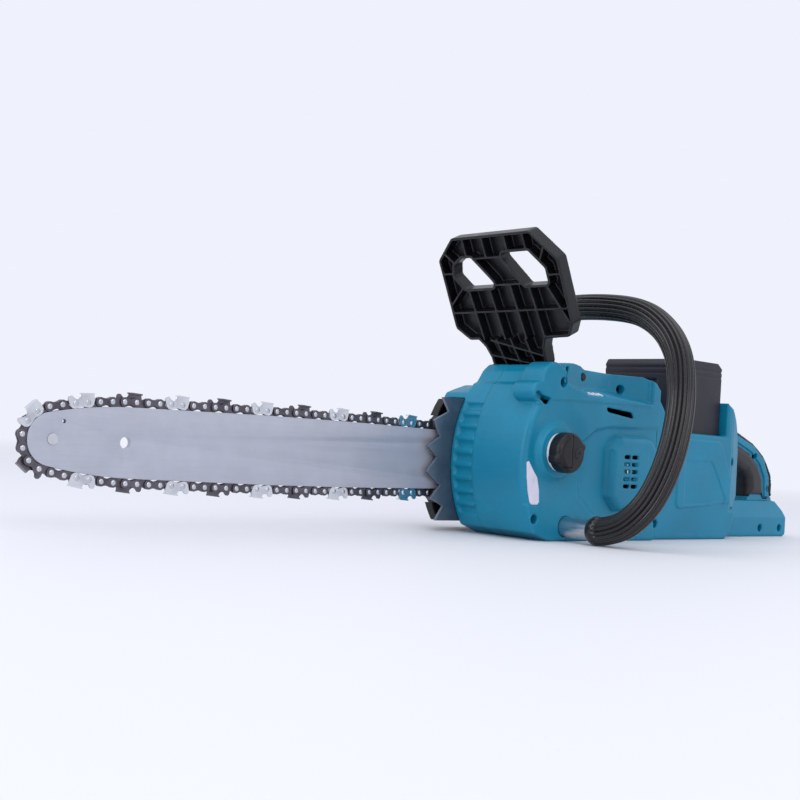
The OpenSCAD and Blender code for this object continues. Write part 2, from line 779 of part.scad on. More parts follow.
// Cutter: side plate with a depth gauge in front and a top plate behind, leaning over the chain
module cutter(side) {
    plate(bar_y + side * side_y, strap_t) polygon([
        [-4.6, -1.4], [-2.4, -3.2], [1.2, -3.2], [pitch / 2, -2.1], [pitch - 1.2, -3.2],
        [pitch + 2.4, -3.2], [pitch + 4.6, -1.4],
        [pitch + 5.4, 6.4], [pitch + 3.4, 7], [pitch + 0.6, 3.2], [pitch / 2 + 0.5, 2.6],
        [pitch / 2, 7.6], [-5, 6.6]
    ]);
    translate([0, bar_y + side * (side_y - 0.9), 0]) mirror([0, side < 0 ? 1 : 0, 0]) rotate([0, -6, 0])
        block([-5, -3.4, 6.6], [pitch / 2, 1.6, 7.8]);
}

module chain_left_cutters() {
    color(bright_metal) for (k = [0:4:link_count - 1]) on_link(2 * k + 1) cutter(1);
}

module chain_right_cutters() {
    color(bright_metal) for (k = [2:4:link_count - 1]) on_link(2 * k + 1) cutter(-1);
}

module chain_rivets() {
    color(bright_metal) for (k = [0:2 * link_count - 1]) {
        p = rivet_at(k);
        rod_y(p[0], p[1], 1.9, bar_y - side_y - strap_t / 2 - 0.4, bar_y + side_y + strap_t / 2 + 0.4, 16);
    }
}

/* ---- drive ---- */

shaft_r = 5;
gear_r = 47;
pinion_r = motor_x - gear_r;
gear_teeth = 72;
pinion_teeth = 20;

module drive_sprocket() {
    color(dark_metal) difference() {
        union() {
            rod_y(0, axle_z, 14.4, bar_y - 4.5, bar_y - 1);
            rod_y(0, axle_z, 14.4, bar_y + 1, bar_y + 4.5);
            rod_y(0, axle_z, 9.2, bar_y - 4.5, bar_y + 4.5);
        }
        rod_y(0, axle_z, shaft_r, bar_y - 6, bar_y + 6, coarse);
    }
}

module brake_drum() {
    color("#6a6c72") difference() {
        rod_y(0, axle_z, 25, -right_face - 3, -right_face + 6, fine);
        rod_y(0, axle_z, 22, -right_face - 4, -right_face + 3, fine);
        rod_y(0, axle_z, shaft_r, -right_face - 5, -right_face + 8, coarse);
    }
}

module brake_band() {
    color(bright_metal) difference() {
        tube_y(0, axle_z, 26.6, 25.6, -right_face - 2, -right_face + 5, fine);
        block([-40, -right_face - 4, axle_z - 4], [-20, -right_face + 7, axle_z + 4]);
    }
}

module output_shaft() {
    color(bright_metal) {
        rod_y(0, axle_z, shaft_r, bar_y - 7, 14);
        rod_y(0, axle_z, 8, bar_y - 6.2, bar_y - 4.6, coarse);
    }
}

// Spur gear along Y, its teeth drawn from the pitch circle and the tooth count
module spur_gear(x, y0, y1, r, teeth, phase) {
    tip = r + 0.75;
    root = r - 1.1;
    step = 360 / teeth;
    slab(y0, y1) translate([x, axle_z]) polygon([
        for (i = [0:teeth - 1])
            for (q = [[-0.31, root], [-0.13, tip], [0.13, tip], [0.31, root]])
                q[1] * [cos((i + q[0]) * step + phase), sin((i + q[0]) * step + phase)]
    ]);
}

module output_gear() {
    color(dark_metal) difference() {
        spur_gear(0, -5, 3, gear_r, gear_teeth, 0);
        rod_y(0, axle_z, shaft_r, -6, 4, coarse);
        for (a = [0:60:300])
            translate([0, 0, axle_z]) rotate([0, a, 0]) rod_y(28, 0, 9, -6, 4, medium);
    }
}

module shaft_bearings() {
    color(bright_metal) {
        tube_y(0, axle_z, 13, shaft_r + running_gap, -right_face + 8, -right_face + 15);
        tube_y(0, axle_z, 12, shaft_r + running_gap, 7, 14);
    }
}

module motor_pinion() {
    color(dark_metal) difference() {
        spur_gear(-motor_x, -5.5, 3.5, pinion_r, pinion_teeth, 180 / pinion_teeth);
        rod_y(-motor_x, axle_z, 4, -7, 5, coarse);
    }
}

module motor_shaft() {
    color(bright_metal) rod_y(-motor_x, axle_z, 4, -13, left_face + 2, coarse);
}

module motor_rotor() {
    color(dark_metal) difference() {
        rod_y(-motor_x, axle_z, 15, 18, 44);
        rod_y(-motor_x, axle_z, 4, 17, 45, coarse);
    }
}

module motor_stator() {
    difference() {
        union() {
            color(dark_metal) tube_y(-motor_x, axle_z, 29, 24, 16, 46, fine);
            color(copper) for (a = [0:60:300])
                translate([-motor_x, 0, axle_z]) rotate([0, a, 0]) block([16, 17, -5], [25, 45, 5]);
        }
        rod_y(-motor_x, axle_z, 15.6, 10, 50, medium);
    }
}

module cooling_fan() {
    color(black) difference() {
        union() {
            rod_y(-motor_x, axle_z, 27, 47, 48.2, fine);
            rod_y(-motor_x, axle_z, 7, 47, 53, coarse);
            for (a = [0:30:330])
                translate([-motor_x, 0, axle_z]) rotate([0, a, 0]) block([6, 48, -0.7], [26, 53, 0.7]);
        }
        rod_y(-motor_x, axle_z, 4, 46, 54, coarse);
    }
}

module motor_bearings() {
    color(bright_metal) {
        tube_y(-motor_x, axle_z, 8, 4 + running_gap, left_face - 5, left_face);
        tube_y(-motor_x, axle_z, 10, 4 + running_gap, 7, 13);
        tube_y(-motor_x, axle_z, 8, 4 + running_gap, -13, -8);
    }
}

// Cast plate that carries the inner bearings and holds the motor
module bearing_plate() {
    color("#a4a6ac") difference() {
        union() {
            slab(7, 13) hull() {
                translate([0, axle_z]) circle(r = 20, $fn = coarse);
                translate([-motor_x, axle_z]) circle(r = 36, $fn = coarse);
            }
            tube_y(-motor_x, axle_z, 33, 29, 12, 46, fine);
        }
        rod_y(0, axle_z, 12, 5, 15, medium);
        rod_y(-motor_x, axle_z, 10, 5, 14, medium);
        for (a = [45:90:315])
            translate([-motor_x, 0, axle_z]) rotate([0, a, 0]) rod_y(21, 0, 4, 5, 14.5, coarse);
    }
}

/* ---- oil system ---- */

tank_y0 = 16;
tank_y1 = left_face - wall - 1.3;

module tank_profile() {
    polygon(concat(
        drum_arc(drum_r - wall - 1.5, 27, 104, 12),
        [[30, 108], [17, 104], [17, 40], [27, 30], [44, 27]]
    ));
}

module oil_tank() {
    color([0.85, 0.84, 0.8]) difference() {
        slab(tank_y0, tank_y1) tank_profile();
        slab(tank_y0 + 2, tank_y1 - 2) offset(delta = -2) tank_profile();
        rod_y(cap_x, cap_z, 11, tank_y1 - 4, tank_y1 + 1);
    }
}

module oil_filler_neck() {
    color("white") difference() {
        union() {
            rod_y(cap_x, cap_z, 14.3, tank_y1, left_face + 4.5, fine);
            rod_y(cap_x, cap_z, 16.2, left_face + 2, left_face + 4.5, fine);
        }
        rod_y(cap_x, cap_z, 11, tank_y1 - 1, left_face + 6);
    }
}

module oil_window() {
    color([0.86, 0.85, 0.93, 0.8])
        slab(left_face - wall - 0.8, left_face - 0.6) offset(delta = -0.15) polygon(window_outline);
}

module oil_pump() {
    color(dark_metal) {
        block([14, -18, 12], [40, -10, 24]);
        rod_y(27, 28, 5, -18, -10, coarse);
    }
}

cap_y0 = left_face + 5.2;
cap_y1 = left_face + 17;
cap_r = 17;
lever_depth = 3;
lever_hinge = 2.2;

module cap_lever_outline() {
    intersection() {
        translate([cap_x, cap_z]) circle(r = cap_r - 1.2, $fn = fine);
        translate([cap_x + lever_hinge, cap_z - 12]) square([18, 32]);
    }
}

module oil_cap() {
    color(black) difference() {
        union() {
            rod_y(cap_x, cap_z, cap_r, cap_y0, cap_y1, fine);
            rod_y(cap_x, cap_z, 10.9, left_face - 2, cap_y0 + 1, medium);
            for (a = [20, 200])
                translate([cap_x, 0, cap_z]) rotate([0, a, 0]) rod_y(15, 0, 4.5, cap_y0 + 1, cap_y1 - 1, coarse);
        }
        // Seat of the flip lever and the hollow under it
        slab(cap_y1 - lever_depth - 0.7, cap_y1 + 1) offset(delta = 0.5) cap_lever_outline();
        block(
            [cap_x + lever_hinge - 2.2, cap_y1 - lever_depth - 0.7, cap_z - 12.5],
            [cap_x + lever_hinge + 1, cap_y1 + 1, cap_z + 16.2]
        );
        rod_y(cap_x - 7.5, cap_z, 5.2, cap_y1 - 1, cap_y1 + 1, coarse);
        tube_y(cap_x, cap_z, 12, 9.2, left_face + 1, left_face + 4, medium);
    }
    color(black) difference() {
        rod_y(cap_x - 7.5, cap_z, 4.6, cap_y1 - 1.2, cap_y1 + 0.4, coarse);
        rod_y(cap_x - 7.5, cap_z, 0.8, cap_y1 - 0.6, cap_y1 + 1, coarse);
    }
}

module oil_cap_seal() {
    color("#8c4a2a") tube_y(cap_x, cap_z, 10.95, 9.2, left_face + 1.2, left_face + 3.8, medium);
}

module oil_cap_lever() {
    color(black) {
        slab(cap_y1 - lever_depth, cap_y1 + 0.6) cap_lever_outline();
        // Barrel that the lever turns on
        translate([cap_x + lever_hinge, cap_y1 - 1.2, cap_z - 11.6]) cylinder(r = 1.8, h = 25, $fn = coarse);
    }
}

/* ---- hand guard ---- */

guard_x = 21.4;
guard_z = 149;
rim_d = 12;
rib_t = 1.8;
skin_t = 2.2;

// Draws in the guard's own plane: first the width along Y, then the height along the slope
module in_guard(depth0, depth1) {
    translate([guard_x, neck_mid + 2.2, guard_z]) rotate([0, guard_lean, 0])
        translate([depth0, 0, 0]) rotate([90, 0, 90]) linear_extrude(depth1 - depth0) children();
}

// Rounds the outer corners of an outline
module softened(r) {
    offset(r = r, $fn = coarse) offset(delta = -r) children();
}

module guard_outline() {
    w = guard_half_w;
    softened(5) polygon([
        [-w + 22, guard_h], [w - 24, guard_h], [w, guard_h - 26], [w, 41], [w - 7, 29.5], [w - 34, 28.5],
        [30.5, 20], [29, 2], [-33, 2], [-34, 12], [-38, 22], [-44, 28.5],
        [-w + 14, 28.5], [-w, 40], [-w, guard_h - 19]
    ]);
}

module guard_windows() {
    softened(3.5) polygon([[-40, 104], [-29, 104], [-8, 79], [-10, 76], [-44, 76], [-54, 88], [-51, 98]]);
    softened(3.5) polygon([[4, 106], [38, 106], [52, 90], [52, 76], [26, 76]]);
}

module guard_rib(a, b) {
    d = b - a;
    translate(a) rotate(atan2(d[1], d[0])) translate([0, -rib_t / 2]) square([norm(d), rib_t]);
}

module guard_ribs() {
    guard_rib([-guard_half_w, 54.5], [guard_half_w, 54.5]);
    for (y = [-39, -14, 11, 32]) guard_rib([y - 2, 77], [y + 2, 28]);
    for (y = [-34, -11, 15, 36]) guard_rib([y, 104], [y, guard_h]);
    guard_rib([-guard_half_w, 91], [-50, 91]);
    guard_rib([50, 84], [guard_half_w, 84]);
    guard_rib([48, 78], [guard_half_w, 34]);
    guard_rib([-46, 78], [-guard_half_w, 60]);
    guard_rib([-50, 100], [-62, 112]);
    guard_rib([48, 96], [58, 112]);
    guard_rib([-13, 78], [28, 78]);
    guard_rib([-32, 103], [8, 103]);
    guard_rib([-34, 14], [32, 2]);
    guard_rib([-30, 28], [30, 12]);
    for (y = [-20, -3, 14]) guard_rib([y - 3, 29], [y + 3, 2]);
}

module hand_guard() {
    color(black) difference() {
        union() {
            in_guard(-skin_t, 0) difference() {
                guard_outline();
                guard_windows();
            }
            in_guard(-skin_t, rim_d - skin_t) difference() {
                union() {
                    difference() {
                        guard_outline();
                        offset(delta = -2.4) guard_outline();
                    }
                    intersection() {
                        guard_outline();
                        offset(delta = 2.4) guard_windows();
                    }
                    intersection() {
                        guard_outline();
                        guard_ribs();
                    }
                }
                guard_windows();
            }
            // Barrel on the pivot pin and the web up to the neck
            rod_y(pivot_x, pivot_z, barrel_r, neck_y0, neck_y1);
            slab(neck_y0 + 1, neck_y1 - 1) polygon([
                [pivot_x + 0.5, pivot_z + 7], [pivot_x + 8, pivot_z + 2.5],
                [pivot_x + 19.5, guard_z - 2], [pivot_x + 8, guard_z + 3.5]
            ]);
        }
        rod_y(pivot_x, pivot_z, pivot_r + running_gap, neck_y0 - 2, neck_y1 + 2);
    }
}

module guard_pin() {
    color(bright_metal) rod_y(pivot_x, pivot_z, pivot_r, neck_y0 - 5, neck_y1 + 7);
}

/* ---- front handle ---- */

// The tube draws out a little where it is bent
bend_thinning = 0.1;

// Middle line of the bent tube, from the left tunnel up and over to the right boss
handle_route = [
    [22, 40, 12.5], [22, 61, 12.5], [22, 84, 12.4], [21, 103, 12.8], [19, 122, 20], [14, 137, 36], [7, 145, 57],
    [-1, 148.5, 82], [-9, 148, 110], [-16, 143.5, 135], [-23, 135, 158], [-28, 122.5, 176], [-32, 107, 189],
    [-35, 89, 198.5], [-37, 68, 204], [-38, 42, 207], [-39, 14, 208], [-41, -14, 207], [-43, -40, 203],
    [-45, -60, 196], [-47, -74, 184], [-49, -82, 169], [-50, -84, 155], [-50, -80, 143],
    [-50, -72, 134.5], [-50, -61, 132], [-50, -50, 132]
];

function route_dir(i) = let (
        a = handle_route[max(i - 1, 0)],
        b = handle_route[min(i + 1, len(handle_route) - 1)]
    ) (b - a) / norm(b - a);
function ring(i, r, sides) = let (
        d = route_dir(i),
        u = cross(d, [1, 0, 0]) / norm(cross(d, [1, 0, 0])),
        v = cross(d, u)
    ) [for (k = [0:sides - 1]) handle_route[i] + r * (cos(k * 360 / sides) * u + sin(k * 360 / sides) * v)];

// Swept tube between two route points
module swept(first, last, r, sides) {
    n = last - first;
    points = [for (i = [first:last]) for (p = ring(i, r, sides)) p];
    walls = [for (i = [0:n - 1]) for (k = [0:sides - 1])
        [i * sides + k, (i + 1) * sides + k, (i + 1) * sides + (k + 1) % sides, i * sides + (k + 1) % sides]];
    ends = [[for (k = [0:sides - 1]) k], [for (k = [sides - 1:-1:0]) n * sides + k]];
    polyhedron(points, concat(walls, ends), convexity = 6);
}

module handle_tube() {
    color("#c9cbd2") {
        rod_y(tunnel_x, tunnel_z, tube_r, tunnel_end, 62);
        rod_y(right_boss_x, right_boss_z, tube_r, -60, boss_end);
        swept(1, len(handle_route) - 1, tube_r - bend_thinning, 20);
    }
}

module handle_sleeve() {
    color(black) difference() {
        swept(2, len(handle_route) - 4, sleeve_r, 20);
        swept(1, len(handle_route) - 1, tube_r, 20);
    }
}

module handle_screws() {
    color(bright_metal) {
        rod_y(right_boss_x, right_boss_z, 2.5, boss_end, -24.4, coarse);
        rod_y(right_boss_x, right_boss_z, 5, -24.4, -21.4, coarse);
        rod_y(tunnel_x, tunnel_z, 2.5, 15, tunnel_end, coarse);
        rod_y(tunnel_x, tunnel_z, 5, 12, 15, coarse);
    }
}

/* ---- rear handle ---- */

core_half_w = 17;
rubber_t = 3;

// Strip of the hard core that shows between the two rubber areas
strip_inner = [[-258, 108], [-300, 97], [-326, 88.5], [-344, 76], [-354, 62], [-356, 41.5]];
strip_outer = [[-364, 41.5], [-362.5, 62], [-351, 81], [-330, 94.5], [-300, 104], [-258, 115]];
module grip_strip() { polygon(concat(strip_inner, strip_outer)); }

module grip_rubber_profile() {
    difference() {
        intersection() {
            grip_profile();
            polygon([[-262, 134], [-262, 60], [-300, 41], [-380, 41], [-380, 134]]);
        }
        offset(delta = 0.1) grip_strip();
    }
}

module grip_rubber(side) {
    color(black) mirror([0, side < 0 ? 1 : 0, 0]) difference() {
        slab(0.15, core_half_w + rubber_t) grip_rubber_profile();
        slab(0, core_half_w + 0.1) offset(delta = -rubber_t) grip_profile();
        lock_slot();
        trigger_slot();
    }
}

module left_grip_rubber() { grip_rubber(1); }
module right_grip_rubber() { grip_rubber(-1); }

trigger_x = -248;
trigger_z = 100;

module trigger() {
    color(black) difference() {
        slab(-6.5, 6.5) polygon([
            [-243, 104], [-254, 105], [-284, 88.5], [-285, 84], [-281, 74], [-277, 69.5], [-273, 70],
            [-268, 77], [-260, 83], [-250, 87], [-243, 95]
        ]);
        rod_y(trigger_x, trigger_z, 2 + running_gap, -8, 8, coarse);
    }
}

module handle_pins() {
    color(bright_metal) {
        rod_y(trigger_x, trigger_z, 2, -9, 9, coarse);
        rod_y(lock_x, lock_z, 1.5, -3.5, 3.5, coarse);
    }
}

module switch_body() {
    color("#2b2f36") block([-286, -8, 101], [-273, 8, 106]);
}

// Lever on top of the rear handle that frees the trigger
lock_x = -255;
lock_z = 116;
module lock_lever() {
    color(black) difference() {
        slab(-2.8, 2.8) polygon([
            [-248, 113], [-250, 125], [-254, 131], [-262, 129.5], [-272, 124], [-272, 120], [-262, 121], [-259, 113]
        ]);
        rod_y(lock_x, lock_z, 1.5 + running_gap, -5, 5, coarse);
    }
}

/* ---- electronics ---- */

module control_board() {
    color("#1f5a34") block([-140, -34, 30], [-137, 34, 92]);
    color("#9a9ca2") block([-137, -30, 34], [-126, 30, 88]);
}

module charge_lamps() {
    color("white") for (i = [0:3])
        on_ledge() block(
            [lamp_x0 - i * lamp_pitch, lamp_y0, ledge_z - 0.4],
            [lamp_x0 - i * lamp_pitch + lamp_w, lamp_y1, ledge_z + 0.9]
        );
}

module power_button() {
    color("#2b2f36") rod_y(button_x, button_z, button_r, button_y0, button_y0 + 5.5, coarse);
}

/* ---- battery ---- */

pack_x0 = bay_x1 - 2 - pack_t;
pack_x1 = bay_x1 - 2;
pack_bottom = bay_floor + 2;

module battery_case() {
    w = pack_w / 2;
    color(black) difference() {
        union() {
            block([pack_x0, -w, pack_bottom + 4], [pack_x1, w, pack_top - 5]);
            slab(-w, w) polygon([
                [pack_x0, pack_top - 5], [pack_x0 + 7, pack_top],
                [pack_x1 - 4, pack_top], [pack_x1, pack_top - 5]
            ]);
            slab(-w + 4, w - 4) translate([pack_x0 + 3, pack_bottom]) square([pack_t - 6, 5]);
        }
        block([pack_x0 + 3, -w + 3, pack_bottom + 8], [pack_x1 - 3, w - 3, pack_top - 12]);
        // Thumb pocket and seat of the latch
        block([pack_x1 - 2, -18, 128], [pack_x1 + 1, 18, 152]);
        block([pack_x1 - 2.9, -15.4, 130], [pack_x1 - 1, 15.4, 148]);
        block([pack_x0 + 20, -12.2, pack_bottom - 1], [pack_x0 + 40, 12.2, pack_bottom + 9]);
    }
}

cell_r = 9.2;
module battery_cells() {
    color("#4a7fb5") for (row = [0:1]) for (col = [0:3])
        translate([pack_x0 + 16.5 + row * 35, -32 + col * 21.3, pack_bottom + 9])
            cylinder(r = cell_r, h = 70, $fn = coarse);
}

module battery_latch() {
    color("#8b1e2a") block([pack_x1 - 2.6, -15, 133.4], [pack_x1 - 0.4, 15, 143]);
}

module battery_terminals() {
    color("#d2b06a") for (y = [-9, -3, 3, 9])
        block([pack_x0 + 24, y - 0.5, pack_bottom + 1], [pack_x0 + 36, y + 0.5, pack_bottom + 8]);
}

left_housing();
right_housing();
housing_screws();
bearing_plate();
spiked_bumper();
bumper_screws();
sprocket_cover();
bar_studs();
cover_knob();
tension_dial();
tension_pin();
chain_catcher();
guide_bar();
bar_rivets();
nose_sprocket();
chain_drive_links();
chain_tie_straps();
chain_left_cutters();
chain_right_cutters();
chain_rivets();
drive_sprocket();
brake_drum();
output_shaft();
output_gear();
shaft_bearings();
brake_band();
motor_stator();
motor_rotor();
motor_shaft();
motor_pinion();
cooling_fan();
motor_bearings();
oil_tank();
oil_filler_neck();
oil_window();
oil_pump();
oil_cap();
oil_cap_seal();
oil_cap_lever();
hand_guard();
guard_pin();
handle_tube();
handle_sleeve();
handle_screws();
left_grip_rubber();
right_grip_rubber();
trigger();
handle_pins();
switch_body();
lock_lever();
control_board();
charge_lamps();
power_button();
battery_case();
battery_cells();
battery_latch();
battery_terminals();
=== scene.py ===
import json
import math

import bmesh
import bpy
import numpy as np
from mathutils import Matrix, Vector


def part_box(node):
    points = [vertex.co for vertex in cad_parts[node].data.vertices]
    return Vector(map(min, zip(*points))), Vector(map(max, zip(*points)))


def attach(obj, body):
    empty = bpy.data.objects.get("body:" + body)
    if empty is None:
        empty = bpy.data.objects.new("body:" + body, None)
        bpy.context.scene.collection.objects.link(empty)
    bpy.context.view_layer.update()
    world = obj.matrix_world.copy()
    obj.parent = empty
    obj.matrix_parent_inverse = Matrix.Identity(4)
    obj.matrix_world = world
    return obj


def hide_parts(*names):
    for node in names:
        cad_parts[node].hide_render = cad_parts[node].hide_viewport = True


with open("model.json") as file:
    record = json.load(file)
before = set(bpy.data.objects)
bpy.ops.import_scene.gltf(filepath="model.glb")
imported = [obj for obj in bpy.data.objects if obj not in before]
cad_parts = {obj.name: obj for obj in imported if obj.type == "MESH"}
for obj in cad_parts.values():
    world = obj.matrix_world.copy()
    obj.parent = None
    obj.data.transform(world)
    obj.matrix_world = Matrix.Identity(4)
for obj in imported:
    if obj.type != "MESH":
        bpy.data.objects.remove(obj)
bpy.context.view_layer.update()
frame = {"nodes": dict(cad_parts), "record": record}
BODY_OF = {n: body for body, nodes in frame["record"]["behaviour"]["bodies"].items() for n in nodes}
SLOT_OF = {part["node"]: part["material_slot"] for part in frame["record"]["subparts"]}
MM = 0.001

# ---- camera, floor and lamps ----

CAMERA_PLACE = Vector((0.853, 0.753, 0.0768))
CAMERA_RIGHT = Vector((-0.7351, 0.6748, 0.0654))
CAMERA_DOWN = Vector((-0.0694, 0.0210, -0.9974))
CAMERA_AHEAD = Vector((-0.6744, -0.7377, 0.0314))
CAMERA_LENS = 56.8
STUDIO_WHITE = (0.865, 0.885, 0.972)


def make_camera():
    data = bpy.data.cameras.new("camera")
    data.lens = CAMERA_LENS
    data.sensor_width = 36
    data.clip_start = 0.01
    camera = bpy.data.objects.new("camera", data)
    bpy.context.scene.collection.objects.link(camera)
    turn = Matrix((CAMERA_RIGHT, -CAMERA_DOWN, -CAMERA_AHEAD)).transposed()
    camera.matrix_world = Matrix.Translation(CAMERA_PLACE) @ turn.to_4x4()
    bpy.context.scene.camera = camera


def make_lamp(name, place, aim, size, power):
    data = bpy.data.lights.new(name, "AREA")
    data.shape = "RECTANGLE"
    data.size, data.size_y = size
    data.energy = power
    lamp = bpy.data.objects.new(name, data)
    bpy.context.scene.collection.objects.link(lamp)
    lamp.location = place
    lamp.rotation_euler = (Vector(aim) - Vector(place)).to_track_quat("-Z", "Y").to_euler()


def make_studio():
    bpy.context.scene.view_settings.view_transform = "Standard"
    world = bpy.data.worlds.new("studio")
    bpy.context.scene.world = world
    world.use_nodes = True
    background = world.node_tree.nodes["Background"]
    background.inputs["Color"].default_value = (*STUDIO_WHITE, 1)
    background.inputs["Strength"].default_value = 1.0
    middle = (0.0, 0.0, 0.08)
    make_lamp("top_softbox", (0.3, 0.1, 2.0), middle, (1.6, 1.2), 8)
    make_lamp("left_softbox", (0.9, 1.5, 1.1), middle, (0.9, 0.7), 5)
    make_lamp("front_strip", (1.9, -0.1, 0.9), middle, (0.4, 1.2), 6)


# ---- finishes ----


class Value:
    """A shader socket that Python sums and products can be written with."""

    def __init__(self, finish, socket):
        self.finish = finish
        self.socket = socket

    def sum(self, operation, *terms):
        return self.finish.node("Math", {"operation": operation}, terms)

    def __add__(self, other):
        return self.sum("ADD", self, other)

    def __radd__(self, other):
        return self.sum("ADD", other, self)

    def __sub__(self, other):
        return self.sum("SUBTRACT", self, other)

    def __rsub__(self, other):
        return self.sum("SUBTRACT", other, self)

    def __mul__(self, other):
        return self.sum("MULTIPLY", self, other)

    def __rmul__(self, other):
        return self.sum("MULTIPLY", other, self)

    def limited(self):
        return self.finish.node("Clamp", {}, {"Value": self})


class Finish:
    """One surface finish: a Principled shader and the nodes that feed it."""

    def __init__(self, name, **fixed):
        self.material = bpy.data.materials.new(name)
        self.material.use_nodes = True
        self.tree = self.material.node_tree
        self.shader = self.tree.nodes["Principled BSDF"]
        for socket, number in fixed.items():
            self.shader.inputs[socket.replace("_", " ")].default_value = number

    def node(self, kind, settings, values, output=0):
        made = self.tree.nodes.new("ShaderNode" + kind)
        for key, setting in settings.items():
            setattr(made, key, setting)
        pairs = values.items() if isinstance(values, dict) else enumerate(values)
        for key, value in pairs:
            self.join(value, made.inputs[key])
        return Value(self, made.outputs[output])

    def join(self, value, socket):
        if isinstance(value, Value):
            self.tree.links.new(value.socket, socket)
        else:
            socket.default_value = value

    def feed(self, socket, value):
        self.join(value, self.shader.inputs[socket])

    def place(self, stretch=(1, 1, 1)):
        """Where a point lies on the saw, in metres, stretched along its axes."""
        spot = self.node("TexCoord", {}, {}, "Object")
        return self.node("VectorMath", {"operation": "MULTIPLY"}, [spot, stretch])

    def noise(self, size, detail=3, stretch=(1, 1, 1)):
        """Cloudy noise from 0 to 1, with spots about `size` metres across."""
        values = {"Vector": self.place(stretch), "Scale": 1 / size, "Detail": detail}
        return self.node("TexNoise", {}, values)

    def contrast(self, value, low, high):
        """Spreads the stretch from low to high over 0 to 1."""
        values = {"Value": value, "From Min": low, "From Max": high}
        return self.node("MapRange", {"clamp": True}, values)

    def mixed(self, share, first, second):
        values = {0: share, 6: first, 7: second}
        return self.node("Mix", {"data_type": "RGBA"}, values, 2)

    def edges(self, low=0.52, high=0.6):
        """1 on outer edges and corners, 0 elsewhere."""
        return self.contrast(self.node("NewGeometry", {}, {}, "Pointiness"), low, high)

    def emboss(self, height, depth, strength=1.0):
        """Normals of a surface raised by height, `depth` metres from 0 to 1."""
        values = {"Height": height, "Distance": depth, "Strength": strength}
        return self.node("Bump", {}, values)


def linear(red, green, blue):
    """A screen colour from 0 to 255 as the shader wants it."""
    return tuple((c / 255) ** 2.2 for c in (red, green, blue)) + (1,)


def moulded_plastic(name, dark, light, rough, edge_highlight_and_wear=None):
    """Moulded plastic: fine spark-eroded grain, cloudy colour, and edges lightened partly as scuffs and
    partly as a painted highlight.
    """
    grain = 0.0005
    f = Finish(name, Specular_IOR_Level=0.38)
    clouds = f.contrast(f.noise(0.06, 4), 0.3, 0.7)
    specks = f.contrast(f.noise(grain * 2.2, 2), 0.35, 0.65)
    colour = f.mixed((clouds * 0.75 + specks * 0.25).limited(), linear(*dark), linear(*light))
    # Outer edges are mixed towards a lighter colour: partly scuffed wear, partly a painted highlight along
    # the rounded edges.
    edge_wear_and_highlight = (f.edges() * f.contrast(f.noise(0.009, 4), 0.42, 0.62)).limited()
    colour = f.mixed(edge_wear_and_highlight * 0.55, colour, linear(*(edge_highlight_and_wear or light)))
    f.feed("Base Color", colour)
    smears = f.contrast(f.noise(0.03, 5, (1, 2.5, 1)), 0.3, 0.7)
    f.feed("Roughness", (rough - 0.05 + smears * 0.09 + specks * 0.03 - edge_wear_and_highlight * 0.08).limited())
    f.feed("Normal", f.emboss(f.noise(grain, 2) + clouds * 0.2, 0.00004, 0.7))
    return f.material


def worked_metal(name, dark, light, rough, lines=(1, 1, 1), metallic=1.0, grime=0.0, line_size=0.002):
    """Metal with fine tool lines, dull patches and bright edges."""
    f = Finish(name)
    patches = f.contrast(f.noise(0.02, 5), 0.3, 0.72)
    drawn = f.noise(line_size, 3, lines)
    colour = f.mixed((patches * 0.5 + drawn * 0.5).limited(), linear(*dark), linear(*light))
    dirt = (f.contrast(f.noise(0.006, 4), 0.45, 0.75) * grime).limited()
    colour = f.mixed(dirt, colour, linear(28, 26, 25))
    rim = f.edges()
    colour = f.mixed(rim * 0.5, colour, linear(*light))
    f.feed("Base Color", colour)
    f.feed("Metallic", (metallic - dirt * 0.4).limited())
    f.feed("Roughness", (rough - 0.06 + drawn * 0.12 + dirt * 0.25 + patches * 0.05 - rim * 0.05).limited())
    f.feed("Normal", f.emboss(drawn, 0.00003, 0.6))
    return f.material


def rubber(name, dark, light, rough, grain=0.0007, depth=0.00006):
    """Soft rubber: matt grain with a dusty bloom, and outer edges made lighter and shinier."""
    f = Finish(name, Sheen_Weight=0.12, Sheen_Roughness=0.5)
    bloom = f.contrast(f.noise(0.035, 5), 0.35, 0.75)
    lighter_edges = f.edges(0.51, 0.56)
    colour = f.mixed((bloom * 0.6 + lighter_edges * 0.3).limited(), linear(*dark), linear(*light))
    f.feed("Base Color", colour)
    f.feed("Roughness", (rough + bloom * 0.12 - lighter_edges * 0.1).limited())
    f.feed("Normal", f.emboss(f.noise(grain, 2), depth, 0.6))
    return f.material


def clear_plastic(name, tint):
    """Milky plastic of the oil window and filler neck."""
    f = Finish(name, Roughness=0.3, Subsurface_Weight=0.3, Subsurface_Radius=(0.01, 0.01, 0.01))
    haze = f.contrast(f.noise(0.012, 4), 0.3, 0.7)
    f.feed("Base Color", f.mixed(haze, linear(*tint), linear(*(min(255, c + 12) for c in tint))))
    f.feed("Roughness", 0.26 + haze * 0.12)
    f.feed("Normal", f.emboss(f.noise(0.004, 3), 0.0001, 0.25))
    return f.material


def wound_copper(name):
    """Enamelled copper wire, wound in fine turns."""
    f = Finish(name, Roughness=0.3)
    turns = f.node("TexWave", {}, {"Vector": f.place(), "Scale": 300, "Distortion": 0.6})
    f.feed("Base Color", f.mixed(turns, linear(120, 60, 25), linear(205, 125, 70)))
    f.feed("Metallic", 0.85 - f.noise(0.01) * 0.2)
    f.feed("Normal", f.emboss(turns, 0.0002, 0.8))
    return f.material


